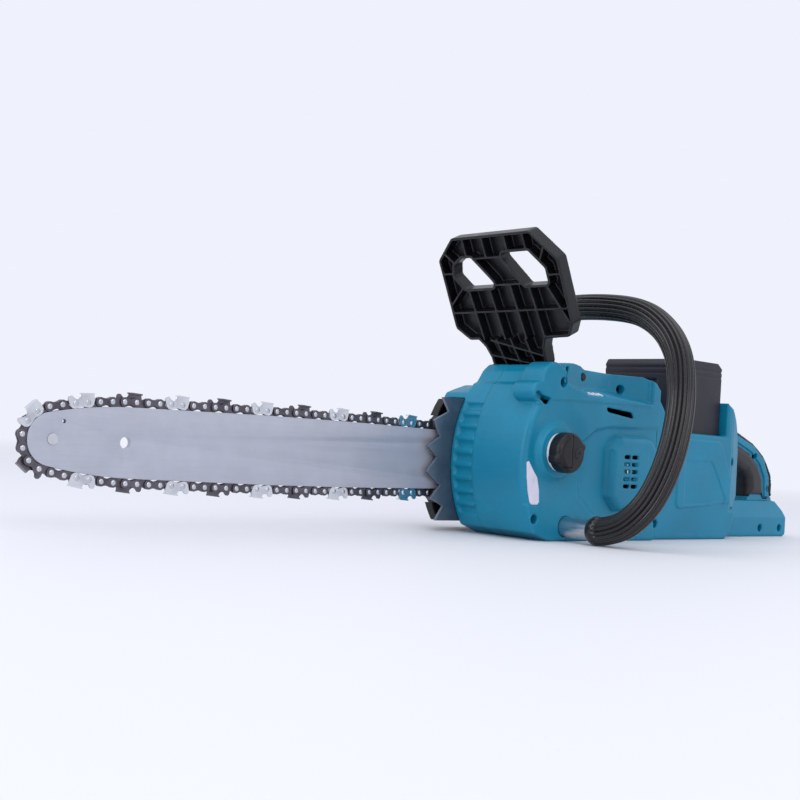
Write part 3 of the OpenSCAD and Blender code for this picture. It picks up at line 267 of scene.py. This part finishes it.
def circuit_board(name):
    """Green solder mask over fine tracks."""
    f = Finish(name, Roughness=0.35)
    tracks = f.node("TexBrick", {"offset": 0.5}, {
        "Vector": f.node("VectorRotate", {"rotation_type": "EULER_XYZ"},
                         {"Vector": f.place(), "Rotation": (0, 0, math.pi / 2)}),
        "Scale": 160, "Mortar Size": 0.03}, 1)
    f.feed("Base Color", f.mixed(tracks, linear(22, 84, 48), linear(52, 140, 80)))
    f.feed("Roughness", 0.3 + f.noise(0.008) * 0.2)
    return f.material


FINISHES = {
    # The lighter edge colours given to the plastics are partly scuffed wear and partly painted highlight.
    "teal_housing": moulded_plastic(
        "teal_plastic", (3, 113, 143), (5, 133, 166), 0.42, edge_highlight_and_wear=(58, 158, 182)),
    "black_plastic": moulded_plastic(
        "black_plastic", (17, 17, 19), (28, 27, 30), 0.38, edge_highlight_and_wear=(84, 82, 86)),
    "guard_plastic": moulded_plastic(
        "guard_plastic", (16, 17, 21), (25, 26, 30), 0.32, edge_highlight_and_wear=(96, 96, 102)),
    "grey_plastic": moulded_plastic(
        "grey_plastic", (92, 94, 98), (112, 114, 120), 0.45, edge_highlight_and_wear=(150, 150, 155)),
    "battery_plastic": moulded_plastic(
        "battery_plastic", (34, 33, 41), (46, 46, 55), 0.46, edge_highlight_and_wear=(110, 110, 118)),
    "white_plastic": clear_plastic("filler_plastic", (216, 216, 224)),
    "window_plastic": clear_plastic("window_plastic", (214, 212, 228)),
    "lamp_white": clear_plastic("lamp_plastic", (236, 238, 242)),
    "sleeve_rubber": rubber("sleeve_rubber", (7, 7, 8), (15, 15, 16), 0.17, 0.0005, 0.00001),
    "grip_rubber": rubber("grip_rubber", (20, 19, 21), (33, 31, 34), 0.46, 0.0009, 0.0001),
    "seal_rubber": rubber("seal_rubber", (96, 40, 24), (128, 60, 36), 0.5),
    "bar_paint": worked_metal("bar_lacquer", (170, 172, 184), (188, 190, 202), 0.38, (0.05, 1, 1), 0.35),
    "bumper_steel": worked_metal("blued_steel", (92, 104, 116), (124, 134, 146), 0.38, (1, 1, 0.3), 0.9),
    "chain_steel": worked_metal(
        "oiled_chain_steel", (72, 69, 74), (118, 113, 120), 0.36, (1, 1, 1), 1.0, 0.5),
    "cutter_chrome": worked_metal(
        "chromed_cutter", (172, 174, 182), (226, 227, 232), 0.2, (1, 1, 1), 1.0, 0.12),
    "bright_steel": worked_metal(
        "bright_steel", (176, 178, 184), (216, 218, 222), 0.22, (1, 0.2, 1), 1.0, 0.08),
    "zinc_steel": worked_metal("zinc_plate", (168, 170, 176), (204, 206, 210), 0.32, (1, 1, 1), 1.0, 0.1),
    "dark_steel": worked_metal(
        "hardened_steel", (66, 66, 72), (104, 104, 110), 0.34, (1, 0.3, 1), 1.0, 0.3),
    "dark_screws": worked_metal("blackened_screw", (20, 20, 22), (44, 44, 48), 0.4, (1, 1, 1), 0.9, 0.1),
    "cast_aluminium": worked_metal(
        "cast_aluminium", (142, 144, 148), (176, 178, 182), 0.48, (1, 1, 1), 1.0, 0.1, 0.001),
    "handle_aluminium": worked_metal("bare_tube", (176, 178, 186), (208, 210, 216), 0.26, (1, 0.1, 1), 1.0),
    "motor_copper": wound_copper("wound_copper"),
    "board_green": circuit_board("circuit_board"),
    "cell_blue": moulded_plastic("cell_sleeve", (44, 96, 150), (60, 116, 172), 0.28),
    "contact_brass": worked_metal("contact_brass", (186, 150, 84), (214, 182, 112), 0.26),
}


# ---- mesh work ----

# How near two corners lie to be joined, in millimetres
WELD = 0.002


def new_piece(name, points, faces):
    mesh = bpy.data.meshes.new(name)
    mesh.from_pydata([tuple(p) for p in points], [], faces)
    mesh.validate()
    piece = bpy.data.objects.new(name, mesh)
    bpy.context.scene.collection.objects.link(piece)
    return piece


def welded(node):
    """A CAD node's mesh with its doubled corners joined, open for work."""
    work = bmesh.new()
    work.from_mesh(frame["nodes"][node].data)
    bmesh.ops.remove_doubles(work, verts=work.verts, dist=WELD * MM)
    return work


def piece_from(work, name):
    """Closes finished work into a piece, with its normals outwards."""
    bmesh.ops.recalc_face_normals(work, faces=work.faces)
    piece = new_piece(name, [], [])
    work.to_mesh(piece.data)
    work.free()
    return piece


def copy_of(node, name):
    """A welded copy of a CAD node's mesh, to be worked on."""
    mesh = frame["nodes"][node].data.copy()
    mesh.materials.clear()
    work = welded(node)
    work.to_mesh(mesh)
    work.free()
    piece = bpy.data.objects.new(name, mesh)
    bpy.context.scene.collection.objects.link(piece)
    return piece


def apply(piece, kind, **settings):
    """Adds one modifier and makes its result the piece's own mesh."""
    modifier = piece.modifiers.new(kind, kind)
    for key, setting in settings.items():
        setattr(modifier, key, setting)
    worked = piece.evaluated_get(bpy.context.evaluated_depsgraph_get())
    mesh = bpy.data.meshes.new_from_object(worked)
    piece.modifiers.clear()
    piece.data = mesh


def cast(node, name, grid, passes):
    """The CAD node as a moulding: every edge takes the soft radius of a real mould."""
    piece = copy_of(node, name)
    apply(piece, "REMESH", mode="VOXEL", voxel_size=grid * MM, adaptivity=0)
    if passes:
        apply(piece, "SMOOTH", factor=0.5, iterations=passes)
    return piece


def eased(node, name, width):
    """The CAD node with its sharp edges broken by a small bevel."""
    piece = copy_of(node, name)
    work = bmesh.new()
    work.from_mesh(piece.data)
    bmesh.ops.dissolve_limit(work, angle_limit=math.radians(0.5), verts=work.verts, edges=work.edges)
    work.to_mesh(piece.data)
    work.free()
    apply(piece, "BEVEL", width=width * MM, segments=2, limit_method="ANGLE",
          angle_limit=math.radians(38), use_clamp_overlap=False, harden_normals=False)
    return piece


def points_of(piece):
    co = np.zeros(len(piece.data.vertices) * 3)
    piece.data.vertices.foreach_get("co", co)
    return co.reshape(-1, 3)


def set_points(piece, co):
    piece.data.vertices.foreach_set("co", co.reshape(-1))
    piece.data.update()


def finish_piece(piece, *nodes, finish=None):
    """Puts the piece on its body, in place of the CAD nodes it stands for."""
    for face in piece.data.polygons:
        face.use_smooth = True
    slot = SLOT_OF[nodes[0]]
    piece.data.materials.clear()
    piece.data.materials.append(finish or FINISHES[slot])
    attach(piece, BODY_OF[nodes[0]])
    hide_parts(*nodes)
    return piece


def sharpen(piece, degrees):
    """Shades the piece smoothly except across edges sharper than this."""
    piece.data.shade_smooth()
    piece.data.set_sharp_from_angle(angle=math.radians(degrees))


def section(node, y):
    """Outlines that the plane at this y cuts from a CAD node, as lists of (x, z), longest first."""
    work = welded(node)
    everything = work.verts[:] + work.edges[:] + work.faces[:]
    cut = bmesh.ops.bisect_plane(work, geom=everything, plane_co=(0, y * MM, 0), plane_no=(0, 1, 0),
                                 clear_inner=True, clear_outer=True)
    edges = [e for e in cut["geom_cut"] if isinstance(e, bmesh.types.BMEdge)]
    around = {}
    for e in edges:
        for a, b in ((e.verts[0], e.verts[1]), (e.verts[1], e.verts[0])):
            around.setdefault(a.index, []).append(b.index)
    place = {v.index: (v.co.x, v.co.z) for v in work.verts}
    loops = []
    left = set(around)
    while left:
        start = left.pop()
        loop = [start]
        here = start
        while True:
            ahead = [n for n in around[here] if n in left]
            if not ahead:
                break
            here = ahead[0]
            left.discard(here)
            loop.append(here)
        loops.append(np.array([place[i] for i in loop]))
    work.free()
    return sorted(loops, key=lambda p: -np.abs(np.diff(p, axis=0)).sum())


def inside_distance(spots, outline):
    """How far each (x, z) lies inside a closed outline, and the direction further in."""
    best = np.full(len(spots), 1e9)
    inward = np.zeros((len(spots), 2))
    inside = np.zeros(len(spots), bool)
    for a, b in zip(outline, np.roll(outline, -1, axis=0)):
        edge = b - a
        length = max(float(edge @ edge), 1e-18)
        share = np.clip(((spots - a) @ edge) / length, 0, 1)
        gap = spots - (a + share[:, None] * edge)
        far = np.sqrt((gap ** 2).sum(1))
        nearer = far < best
        best[nearer] = far[nearer]
        inward[nearer] = gap[nearer] / np.maximum(far[nearer], 1e-9)[:, None]
        crosses = (a[1] > spots[:, 1]) != (b[1] > spots[:, 1])
        rise = np.where(abs(b[1] - a[1]) > 1e-12, b[1] - a[1], 1e-12)
        inside ^= crosses & (spots[:, 0] < (b[0] - a[0]) * (spots[:, 1] - a[1]) / rise + a[0])
    inward[~inside] *= -1
    return np.where(inside, best, -best), inward


def round_rim(co, where, outline, level, radius):
    """Rounds the edge between an outline's wall and the face at |y| = level."""
    level, radius = level * MM, radius * MM
    side = np.sign(co[:, 1])
    pick = np.flatnonzero(where & (np.abs(co[:, 1]) > level - radius) & (np.abs(co[:, 1]) < level + 0.7 * MM))
    depth, inward = inside_distance(co[pick][:, [0, 2]], outline)
    drop = level - np.abs(co[pick, 1])
    near = (depth < radius) & (depth > -1.5 * MM)
    corner = np.hypot(radius - depth, radius - drop)
    moved = near & (corner > radius)
    scale = np.where(moved, radius / np.maximum(corner, 1e-9), 1)
    new_depth = radius - (radius - depth) * scale
    new_drop = radius - (radius - drop) * scale
    chosen = pick[moved]
    co[np.ix_(chosen, [0, 2])] += inward[moved] * (new_depth - depth)[moved][:, None]
    co[chosen, 1] = side[chosen] * (level - new_drop[moved])


def blend_in(value, low, high):
    """0 below low, 1 above high, and a smooth rise between."""
    share = np.clip((value - low) / (high - low), 0, 1)
    return share * share * (3 - 2 * share)


# ---- housings ----

# Drum axis (X, Z) and radius, how far out the flat faces lie, and where the front part ends
DRUM_AXIS = (-30, 65)
DRUM_R = 108
LEFT_FACE = 61
BULGE_FACE = 67
REAR_FACE = 55
FRONT_END = -104

# Voxel grid and smoothing of the shells, how far under a face its outline is taken, and the rounding of rims
SHELL_GRID = 0.85
SHELL_PASSES = 4
UNDER = 1.2
DRUM_ROUND = 7
FRONT_ROUND = 2.6
REAR_ROUND = 3

# Shallow bowl round the oil cap, in millimetres from the cap's axis
BOWL_START, BOWL_DEEP, BOWL_RISE, BOWL_END = 22.5, 27, 28, 46
BOWL_SINK = 2.0

# Outlines on the left side, X forward and Z up, in millimetres
MOTOR_DIP = [
    (8, 85), (-11, 98), (-30, 102), (-100, 104.5), (-125, 104.5), (-125, 15), (-20, 16), (9.5, 40), (9.5, 60),
]
TOP_LIP = [
    (74, 127), (75, 119), (50, 117.5), (20, 118.5), (-30, 119.5), (-90, 120.5), (-95, 124),
    (-33, 130), (4, 133), (21, 136), (28, 142), (46, 152), (64, 149), (75, 131),
]
BAY_PANEL = [(-143, 95.5), (-209, 95.5), (-215, 92), (-243, 42), (-241, 36), (-147, 29), (-143, 33)]
BAY_INSET = [(-155, 75), (-197, 76), (-202, 72), (-225, 40), (-222, 34), (-155, 33)]


def raise_face(co, where, outline, height, soft):
    """Lifts the face inside an outline towards the outside, with a soft step at its edge."""
    pick = np.flatnonzero(where)
    depth, _ = inside_distance(co[pick][:, [0, 2]], np.array(outline) * MM)
    co[pick, 1] += np.sign(co[pick, 1]) * height * MM * blend_in(depth, 0, soft * MM)


def left_shell():
    """Left housing: rounded rims, a bowl round the cap, a sunk area round the motor, and raised panels."""
    piece = cast("left_housing", "left_shell", SHELL_GRID, SHELL_PASSES)
    co = points_of(piece)
    drum = np.hypot(co[:, 0] - DRUM_AXIS[0] * MM, co[:, 2] - DRUM_AXIS[1] * MM)
    front = co[:, 0] > FRONT_END * MM
    outer = co[:, 1] > (LEFT_FACE - UNDER) * MM
    rim = section("left_housing", LEFT_FACE - UNDER)[0]
    on_drum = (drum > (DRUM_R - 12) * MM) & (co[:, 0] > 0.03) & (co[:, 2] > 0.03) & (co[:, 2] < 0.114)
    round_rim(co, front & on_drum, rim, LEFT_FACE, DRUM_ROUND)
    round_rim(co, front & ~on_drum, rim, LEFT_FACE, FRONT_ROUND)
    rear = section("left_housing", REAR_FACE - UNDER)[0]
    round_rim(co, ~front, rear, REAR_FACE, REAR_ROUND)
    cap_low, cap_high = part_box("oil_cap")
    cap = (cap_low + cap_high) / 2
    reach = np.hypot(co[:, 0] - cap.x, co[:, 2] - cap.z)
    flat = outer & (co[:, 1] < (LEFT_FACE + 0.6) * MM)
    bowl = front & flat & (reach > BOWL_START * MM) & (reach < BOWL_END * MM)
    sink = blend_in(reach, BOWL_START * MM, BOWL_DEEP * MM)
    sink *= 1 - blend_in(reach, BOWL_RISE * MM, BOWL_END * MM)
    co[bowl, 1] -= BOWL_SINK * MM * sink[bowl]
    wall = (co[:, 1] > (LEFT_FACE - 4.2) * MM) & (co[:, 1] < (LEFT_FACE + 0.4) * MM)
    raise_face(co, front & wall, MOTOR_DIP, -2.4, 5)
    raise_face(co, front & outer & (co[:, 1] < (LEFT_FACE + 0.4) * MM), TOP_LIP, 1.3, 1.8)
    over = front & (co[:, 1] > (LEFT_FACE + 0.8) * MM) & (co[:, 0] < -0.02) & (co[:, 2] > 0.02)
    round_rim(co, over, section("left_housing", BULGE_FACE - 4)[0], BULGE_FACE, 7)
    side = ~front & (co[:, 1] > (REAR_FACE - 0.7) * MM)
    raise_face(co, side, BAY_PANEL, 1.3, 1.0)
    raise_face(co, side, BAY_INSET, -0.7, 0.7)
    set_points(piece, co)
    finish_piece(piece, "left_housing")


def right_shell():
    """Right housing, with the same panel beside the battery bay."""
    piece = cast("right_housing", "right_shell", SHELL_GRID, SHELL_PASSES)
    co = points_of(piece)
    rear = section("right_housing", UNDER - REAR_FACE)[0]
    round_rim(co, (co[:, 1] < 0) & (co[:, 0] < FRONT_END * MM), rear, REAR_FACE, REAR_ROUND)
    side = (co[:, 1] < -(REAR_FACE - 0.7) * MM) & (co[:, 0] < FRONT_END * MM)
    raise_face(co, side, BAY_PANEL, 1.0, 1.2)
    raise_face(co, side, BAY_INSET, -0.5, 0.9)
    set_points(piece, co)
    finish_piece(piece, "right_housing")


# ---- chain ----


def part_centres(node):
    """The middle of each separate solid in a CAD node."""
    work = welded(node)
    centres = []
    left = set(work.verts)
    while left:
        stack = [left.pop()]
        co = []
        while stack:
            vert = stack.pop()
            co.append(vert.co.copy())
            for edge in vert.link_edges:
                other = edge.other_vert(vert)
                if other in left:
                    left.discard(other)
                    stack.append(other)
        co = np.array(co)
        centres.append(Vector((co.min(0) + co.max(0)) / 2))
    work.free()
    return centres


def rivets_in_order():
    """Rivet centres round the loop, from the nose over the top towards the powerhead."""
    left = part_centres("chain_rivets")
    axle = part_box("bar_rivets")
    level = (axle[0].z + axle[1].z) / 2
    here = max((p for p in left if p.z > level), key=lambda p: p.x)
    order = []
    while left:
        ahead = [p for p in left if not order or len(order) > 1 or p.z > here.z]
        here = min(ahead, key=lambda p: (p - here).length)
        left.remove(here)
        order.append(here)
    return order


def plate_outline(pitch, lobe, waist, steps=10):
    """Outline of a link plate: a lobe round each rivet and a waist between, as (x, z)."""
    points = []
    for centre, start in ((0, 0.32), (pitch, 1.32)):
        for i in range(steps + 1):
            angle = math.pi * (start + 1.36 * i / steps)
            points.append((centre + lobe * math.cos(angle), lobe * math.sin(angle)))
        side = -1 if centre == 0 else 1
        points.append((pitch / 2, side * waist))
    return points


def plate_mesh(work, place, outline, low, high, ease=0.22):
    """Adds one plate of an outline between two y levels, with its edges eased."""
    outline = np.array(outline)
    ahead = np.roll(outline, -1, axis=0) - np.roll(outline, 1, axis=0)
    normal = np.stack([ahead[:, 1], -ahead[:, 0]], 1)
    normal /= np.linalg.norm(normal, axis=1)[:, None]
    rings = []
    for y, inset in ((low, ease), (low + ease, 0), (high - ease, 0), (high, ease)):
        ring = outline - normal * inset
        rings.append([work.verts.new(place @ Vector((x * MM, y * MM, z * MM))) for x, z in ring])
    count = len(outline)
    for lower, upper in zip(rings, rings[1:]):
        for i in range(count):
            j = (i + 1) % count
            work.faces.new((lower[i], lower[j], upper[j], upper[i]))
    work.faces.new(rings[0][::-1])
    work.faces.new(rings[-1])


def link_places(rivets):
    """For each gap between rivets, a frame at the rear rivet, x ahead and z away from the bar."""
    places = []
    for front, rear in zip(rivets, rivets[1:] + rivets[:1]):
        ahead = (front - rear).normalized()
        side = Vector((0, 1, 0))
        away = ahead.cross(side)
        turn = Matrix((ahead, side, away)).transposed().to_4x4()
        places.append(Matrix.Translation(rear) @ turn)
    return places


def gap_middle(i):
    """Halfway between rivet i and the next one round the loop."""
    return (CHAIN[i] + CHAIN[i - len(CHAIN) + 1]) / 2


def chain_piece(name, node, add, side=0, finish=None):
    """Builds every plate of one kind, found from where the CAD node has its solids."""
    work = bmesh.new()
    for centre in part_centres(node):
        k = min(range(len(CHAIN)), key=lambda i: (gap_middle(i) - centre).xz.length)
        add(work, PLACES[(k + ADVANCE) % len(PLACES)], side or centre.y - CHAIN[k].y)
    piece = piece_from(work, name)
    finish_piece(piece, node, finish=finish)
    sharpen(piece, 40)


CHAIN = rivets_in_order()
PLACES = link_places(CHAIN)
PITCH = (CHAIN[1] - CHAIN[0]).length / MM

# Links by which the plates stand ahead of their places in the CAD, and plate thicknesses in millimetres
ADVANCE = 4
DRIVE_T = 1.3
STRAP_T = 1.4


def add_strap(work, place, side):
    inner = DRIVE_T / 2 + 0.02
    low, high = (inner, inner + STRAP_T) if side > 0 else (-inner - STRAP_T, -inner)
    plate_mesh(work, place, plate_outline(PITCH, 3.5, 2.2), low, high)


def add_drive_link(work, place, side):
    tang = [(-1.2, -3.2), (-3.0, -1.9), (-3.4, 0.2), (-2.4, 2.4), (0.4, 3.1), (2.6, 2.5), (PITCH / 2, 1.9),
            (PITCH - 2.6, 2.5), (PITCH - 0.4, 3.1), (PITCH + 2.4, 2.4), (PITCH + 3.4, 0.2),
            (PITCH + 3.0, -2.2),
            (PITCH / 2 + 3.2, -7.2), (PITCH / 2 + 1.6, -8.2), (PITCH / 2 - 0.8, -8.0), (PITCH / 2 - 3, -5)]
    plate_mesh(work, place, tang, -DRIVE_T / 2, DRIVE_T / 2, 0.15)


def add_cutter(work, place, side):
    """Side plate with a depth gauge ahead of the gullet, and the sharpened top plate behind it."""
    inner = DRIVE_T / 2 + 0.02
    low, high = (inner, inner + STRAP_T) if side > 0 else (-inner - STRAP_T, -inner)
    front = PITCH
    wall = [(-3.9, -1.8), (-2.4, -3.1), (-0.6, -3.4), (1.4, -3.0), (front / 2, -2.2), (front - 1.4, -3.0),
            (front + 0.6, -3.4), (front + 2.6, -3.0), (front + 4.2, -1.2), (front + 5.2, 2.6),
            (front + 4.9, 4.6), (front + 3.8, 5.5), (front + 2.4, 5.3), (front + 0.8, 3.4),
            (front - 1.2, 2.5), (front - 3.2, 3.2),
            (front - 4.3, 4.4), (front - 4.6, 5.9), (0, 5.5), (-4.6, 5.1), (-5.0, 2.0)]
    plate_mesh(work, place, wall[::-1], low, high)
    sign = 1 if side > 0 else -1
    edge = [(-4.9, -sign * 0.2), (-4.2, -sign * 3.3), (front - 5.6, -sign * 3.6), (front - 4.2, sign * 1.2),
            (front - 4.2, sign * 1.9), (-4.6, sign * 1.9)]
    base = inner + STRAP_T / 2
    rings = []
    for rise in (0, 1.1):
        ring = []
        for x, y in edge:
            z = 5.0 + rise + (x + 5) * 0.08
            ring.append(work.verts.new(place @ Vector((x * MM, (sign * base * 0.9 + y) * MM, z * MM))))
        rings.append(ring)
    for i in range(len(edge)):
        j = (i + 1) % len(edge)
        work.faces.new((rings[0][i], rings[0][j], rings[1][j], rings[1][i]))
    work.faces.new(rings[0][::-1])
    work.faces.new(rings[1])


def chain_rivets():
    """Domed rivets, a little flattened at the crown."""
    reach = DRIVE_T / 2 + STRAP_T + 0.02
    dome = [(0, 0.72), (0.9, 0.66), (1.6, 0.46), (1.95, 0.2), (2.0, 0)]
    profile = [(r, reach + h) for r, h in dome] + [(r, -reach - h) for r, h in reversed(dome)]
    sides = 14
    work = bmesh.new()
    for centre in CHAIN:
        rings = []
        for r, y in profile[1:-1]:
            rings.append([work.verts.new(centre + MM * Vector((r * math.cos(a), y, r * math.sin(a))))
                          for a in np.linspace(0, 2 * math.pi, sides, endpoint=False)])
        for lower, upper in zip(rings, rings[1:]):
            for i in range(sides):
                j = (i + 1) % sides
                work.faces.new((lower[i], lower[j], upper[j], upper[i]))
        for ring, (r, y) in ((rings[0], profile[0]), (rings[-1], profile[-1])):
            tip = work.verts.new(centre + MM * Vector((r, y, 0)))
            for i in range(sides):
                work.faces.new((ring[i], ring[(i + 1) % sides], tip))
    piece = piece_from(work, "chain_rivet_set")
    finish_piece(piece, "chain_rivets")
    sharpen(piece, 50)


# ---- front handle ----

# Middle line of the bent tube, from the left tunnel up and over to the right boss
HANDLE_ROUTE = [
    (22, 40, 12.5), (22, 61, 12.5), (22, 90, 12.4), (21, 103, 12.8), (19, 122, 20), (14, 137, 36),
    (7, 145, 57),
    (-1, 148.5, 82), (-9, 148, 110), (-16, 143.5, 135), (-23, 135, 158), (-28, 122.5, 176), (-32, 107, 189),
    (-35, 89, 198.5), (-37, 68, 204), (-38, 42, 207), (-39, 14, 208), (-41, -14, 207), (-43, -40, 203),
    (-45, -60, 196), (-47, -74, 184), (-49, -82, 169), (-50, -84, 155), (-50, -80, 143),
    (-50, -72, 134.5), (-50, -61, 132), (-50, -50, 132),
]
SLEEVE_FROM, SLEEVE_TO = 2, len(HANDLE_ROUTE) - 4
SLEEVE_R = 11.75
TUBE_R = 8.5
RIDGES = 18
GROOVE = 1.5


def smooth_line(points, steps):
    """Catmull-Rom curve through the points, with this many steps between each pair."""
    points = np.array(points, float)
    padded = np.vstack([2 * points[0] - points[1], points, 2 * points[-1] - points[-2]])
    line = []
    for p0, p1, p2, p3 in zip(padded, padded[1:], padded[2:], padded[3:]):
        for t in np.arange(steps) / steps:
            line.append(0.5 * (2 * p1 + (p2 - p0) * t + (2 * p0 - 5 * p1 + 4 * p2 - p3) * t ** 2
                               + (3 * p1 - p0 - 3 * p2 + p3) * t ** 3))
    line.append(points[-1])
    return np.array(line) * MM


def sweep(name, line, radius_at, sides):
    """A closed skin round a line. radius_at(share along, angle) gives its radius in metres."""
    ahead = np.gradient(line, axis=0)
    ahead /= np.linalg.norm(ahead, axis=1)[:, None]
    across = np.cross(ahead[0], (1, 0, 0))
    angles = np.linspace(0, 2 * math.pi, sides, endpoint=False)
    length = np.concatenate([[0], np.cumsum(np.linalg.norm(np.diff(line, axis=0), axis=1))])
    points = []
    for spot, along, share in zip(line, ahead, length / length[-1]):
        across = across - along * (across @ along)
        across /= np.linalg.norm(across)
        up = np.cross(along, across)
        radius = radius_at(share, angles)
        ring = spot + radius[:, None] * (np.cos(angles)[:, None] * across + np.sin(angles)[:, None] * up)
        points.extend(ring)
    faces = []
    for i in range(len(line) - 1):
        for k in range(sides):
            j = (k + 1) % sides
            faces.append((i * sides + k, i * sides + j, (i + 1) * sides + j, (i + 1) * sides + k))
    last = (len(line) - 1) * sides
    faces.append(tuple(range(sides - 1, -1, -1)))
    faces.append(tuple(range(last, last + sides)))
    return new_piece(name, points, faces)


def front_handle():
    """The bent tube, and the ridged sleeve over it with a plain collar at each end."""
    line = smooth_line(HANDLE_ROUTE, 8)
    bare = sweep("handle_tube_bent", line, lambda share, a: np.full(len(a), TUBE_R * MM), 40)
    finish_piece(bare, "handle_tube")
    sharpen(bare, 50)
    sleeved = line[SLEEVE_FROM * 8:SLEEVE_TO * 8 + 1]

    def ridged(share, angles):
        wave = 0.5 + 0.5 * np.cos(RIDGES * angles)
        ends = min(blend_in(share, 0, 0.008), blend_in(1 - share, 0, 0.008))
        plain = 1 - min(blend_in(share, 0.012, 0.02), blend_in(1 - share, 0.012, 0.02))
        depth = GROOVE * (1 - wave ** 0.55) * (1 - plain)
        return (SLEEVE_R - depth - 1.4 * (1 - ends) + 0.5 * plain * ends) * MM

    sleeve = sweep("handle_sleeve_ridged", sleeved, ridged, RIDGES * 10)
    finish_piece(sleeve, "handle_sleeve")
    sharpen(sleeve, 60)


# ---- everything else ----


# Node, voxel grid in millimetres and smoothing passes
SOFT_PARTS = (
    ("hand_guard", 0.6, 2), ("sprocket_cover", 0.7, 3), ("trigger", 0.5, 4), ("lock_lever", 0.4, 3),
    ("cover_knob", 0.5, 3), ("tension_dial", 0.5, 2), ("oil_filler_neck", 0.4, 2), ("power_button", 0.25, 2),
    ("battery_latch", 0.4, 2),
)


def soft_parts():
    """Plastic and rubber pieces that take their shape straight from the CAD."""
    for node, grid, passes in SOFT_PARTS:
        finish_piece(cast(node, node + "_moulding", grid, passes), node)


def cap_and_lever():
    """The oil cap is domed over its rim, and its flip lever follows the dome."""
    low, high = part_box("oil_cap")
    middle = (low + high) / 2
    angles = np.linspace(0, 2 * math.pi, 96, endpoint=False)
    for node, radius, dome in (("oil_cap", 17, 4.5), ("oil_cap_lever", 16, 4)):
        piece = cast(node, node + "_moulding", 0.35, 3)
        co = points_of(piece)
        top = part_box(node)[1].y / MM
        ring = np.stack([middle.x + radius * MM * np.cos(angles), middle.z + radius * MM * np.sin(angles)], 1)
        if node == "oil_cap":
            ring = section(node, top - 6)[0]
        round_rim(co, co[:, 0] > (low.x if node == "oil_cap" else middle.x + 0.005), ring, top, dome)
        set_points(piece, co)
        finish_piece(piece, node)


def battery():
    """Battery case with soft corners and two seams under its top edge."""
    piece = cast("battery_case", "battery_case_moulding", 0.85, 4)
    co = points_of(piece)
    low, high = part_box("battery_case")
    flat = co[:, [0, 1]]
    rim = np.array([(low.x, low.y), (high.x, low.y), (high.x, high.y), (low.x, high.y)])
    depth, inward = inside_distance(flat, rim)
    skin = depth < 0.0022
    for drop, width, cut in ((8.5, 0.9, 0.9), (14, 0.7, 0.6)):
        groove = np.exp(-((high.z - drop * MM - co[:, 2]) / (width * MM)) ** 2) * cut * MM
        co[:, :2] += np.where(skin, groove, 0)[:, None] * inward
    set_points(piece, co)
    finish_piece(piece, "battery_case")


def grips():
    """Rubber halves of the rear grip, rounded to the hand."""
    for node in ("left_grip_rubber", "right_grip_rubber"):
        piece = cast(node, node + "_moulding", 0.7, 4)
        co = points_of(piece)
        level = max(abs(p.y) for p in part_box(node)) / MM
        outline = section(node, math.copysign(level - 1.2, co[:, 1].mean()))
        for loop in outline:
            if len(loop) > 12:
                round_rim(co, np.abs(co[:, 1]) > 0.008, loop, level, 9)
        set_points(piece, co)
        finish_piece(piece, node)


def metal_parts():
    """Metal pieces with their sharp edges broken."""
    for node, width in (("guide_bar", 0.25), ("spiked_bumper", 0.3), ("bumper_screws", 0.3)):
        piece = eased(node, node + "_worked", width)
        finish_piece(piece, node)
        sharpen(piece, 35)


def carried_over():
    """CAD nodes that keep their own shape and take a finish."""
    for node, shown in frame["nodes"].items():
        if shown.hide_render:
            continue
        shown.data.materials.clear()
        shown.data.materials.append(FINISHES[SLOT_OF[node]])


def make_floor():
    """A pale floor that melts into the studio's white far away."""
    size = 30
    corners = [(-size, -size, 0), (size, -size, 0), (size, size, 0), (-size, size, 0)]
    floor = new_piece("studio_floor", corners, [(0, 1, 2, 3)])
    f = Finish("studio_floor", Roughness=0.6)
    spot = f.node("TexCoord", {}, {}, "Object")
    reach = f.node("VectorMath", {"operation": "LENGTH"}, [spot], 1)
    f.feed("Base Color", (0.74, 0.75, 0.78, 1))
    glow = f.node("Emission", {}, {"Color": (*STUDIO_WHITE, 1), "Strength": 1.0})
    share = f.contrast(reach, 0.9, 3.2)
    mix = f.node("MixShader", {}, {0: share, 1: Value(f, f.shader.outputs[0]), 2: glow})
    f.tree.links.new(mix.socket, f.tree.nodes["Material Output"].inputs["Surface"])
    floor.data.materials.append(f.material)


make_camera()
make_studio()
left_shell()
right_shell()
chain_piece("chain_strap_set", "chain_tie_straps", add_strap)
chain_piece("chain_drive_link_set", "chain_drive_links", add_drive_link)
chain_piece("chain_left_cutter_set", "chain_left_cutters", add_cutter, 1)
# The right cutters take the darker oiled chain steel in place of chrome: a painted shade, as their side
# towards the camera lies in shadow.
chain_piece("chain_right_cutter_set", "chain_right_cutters", add_cutter, -1, FINISHES["chain_steel"])
chain_rivets()
front_handle()
soft_parts()
cap_and_lever()
battery()
grips()
metal_parts()
carried_over()
make_floor()
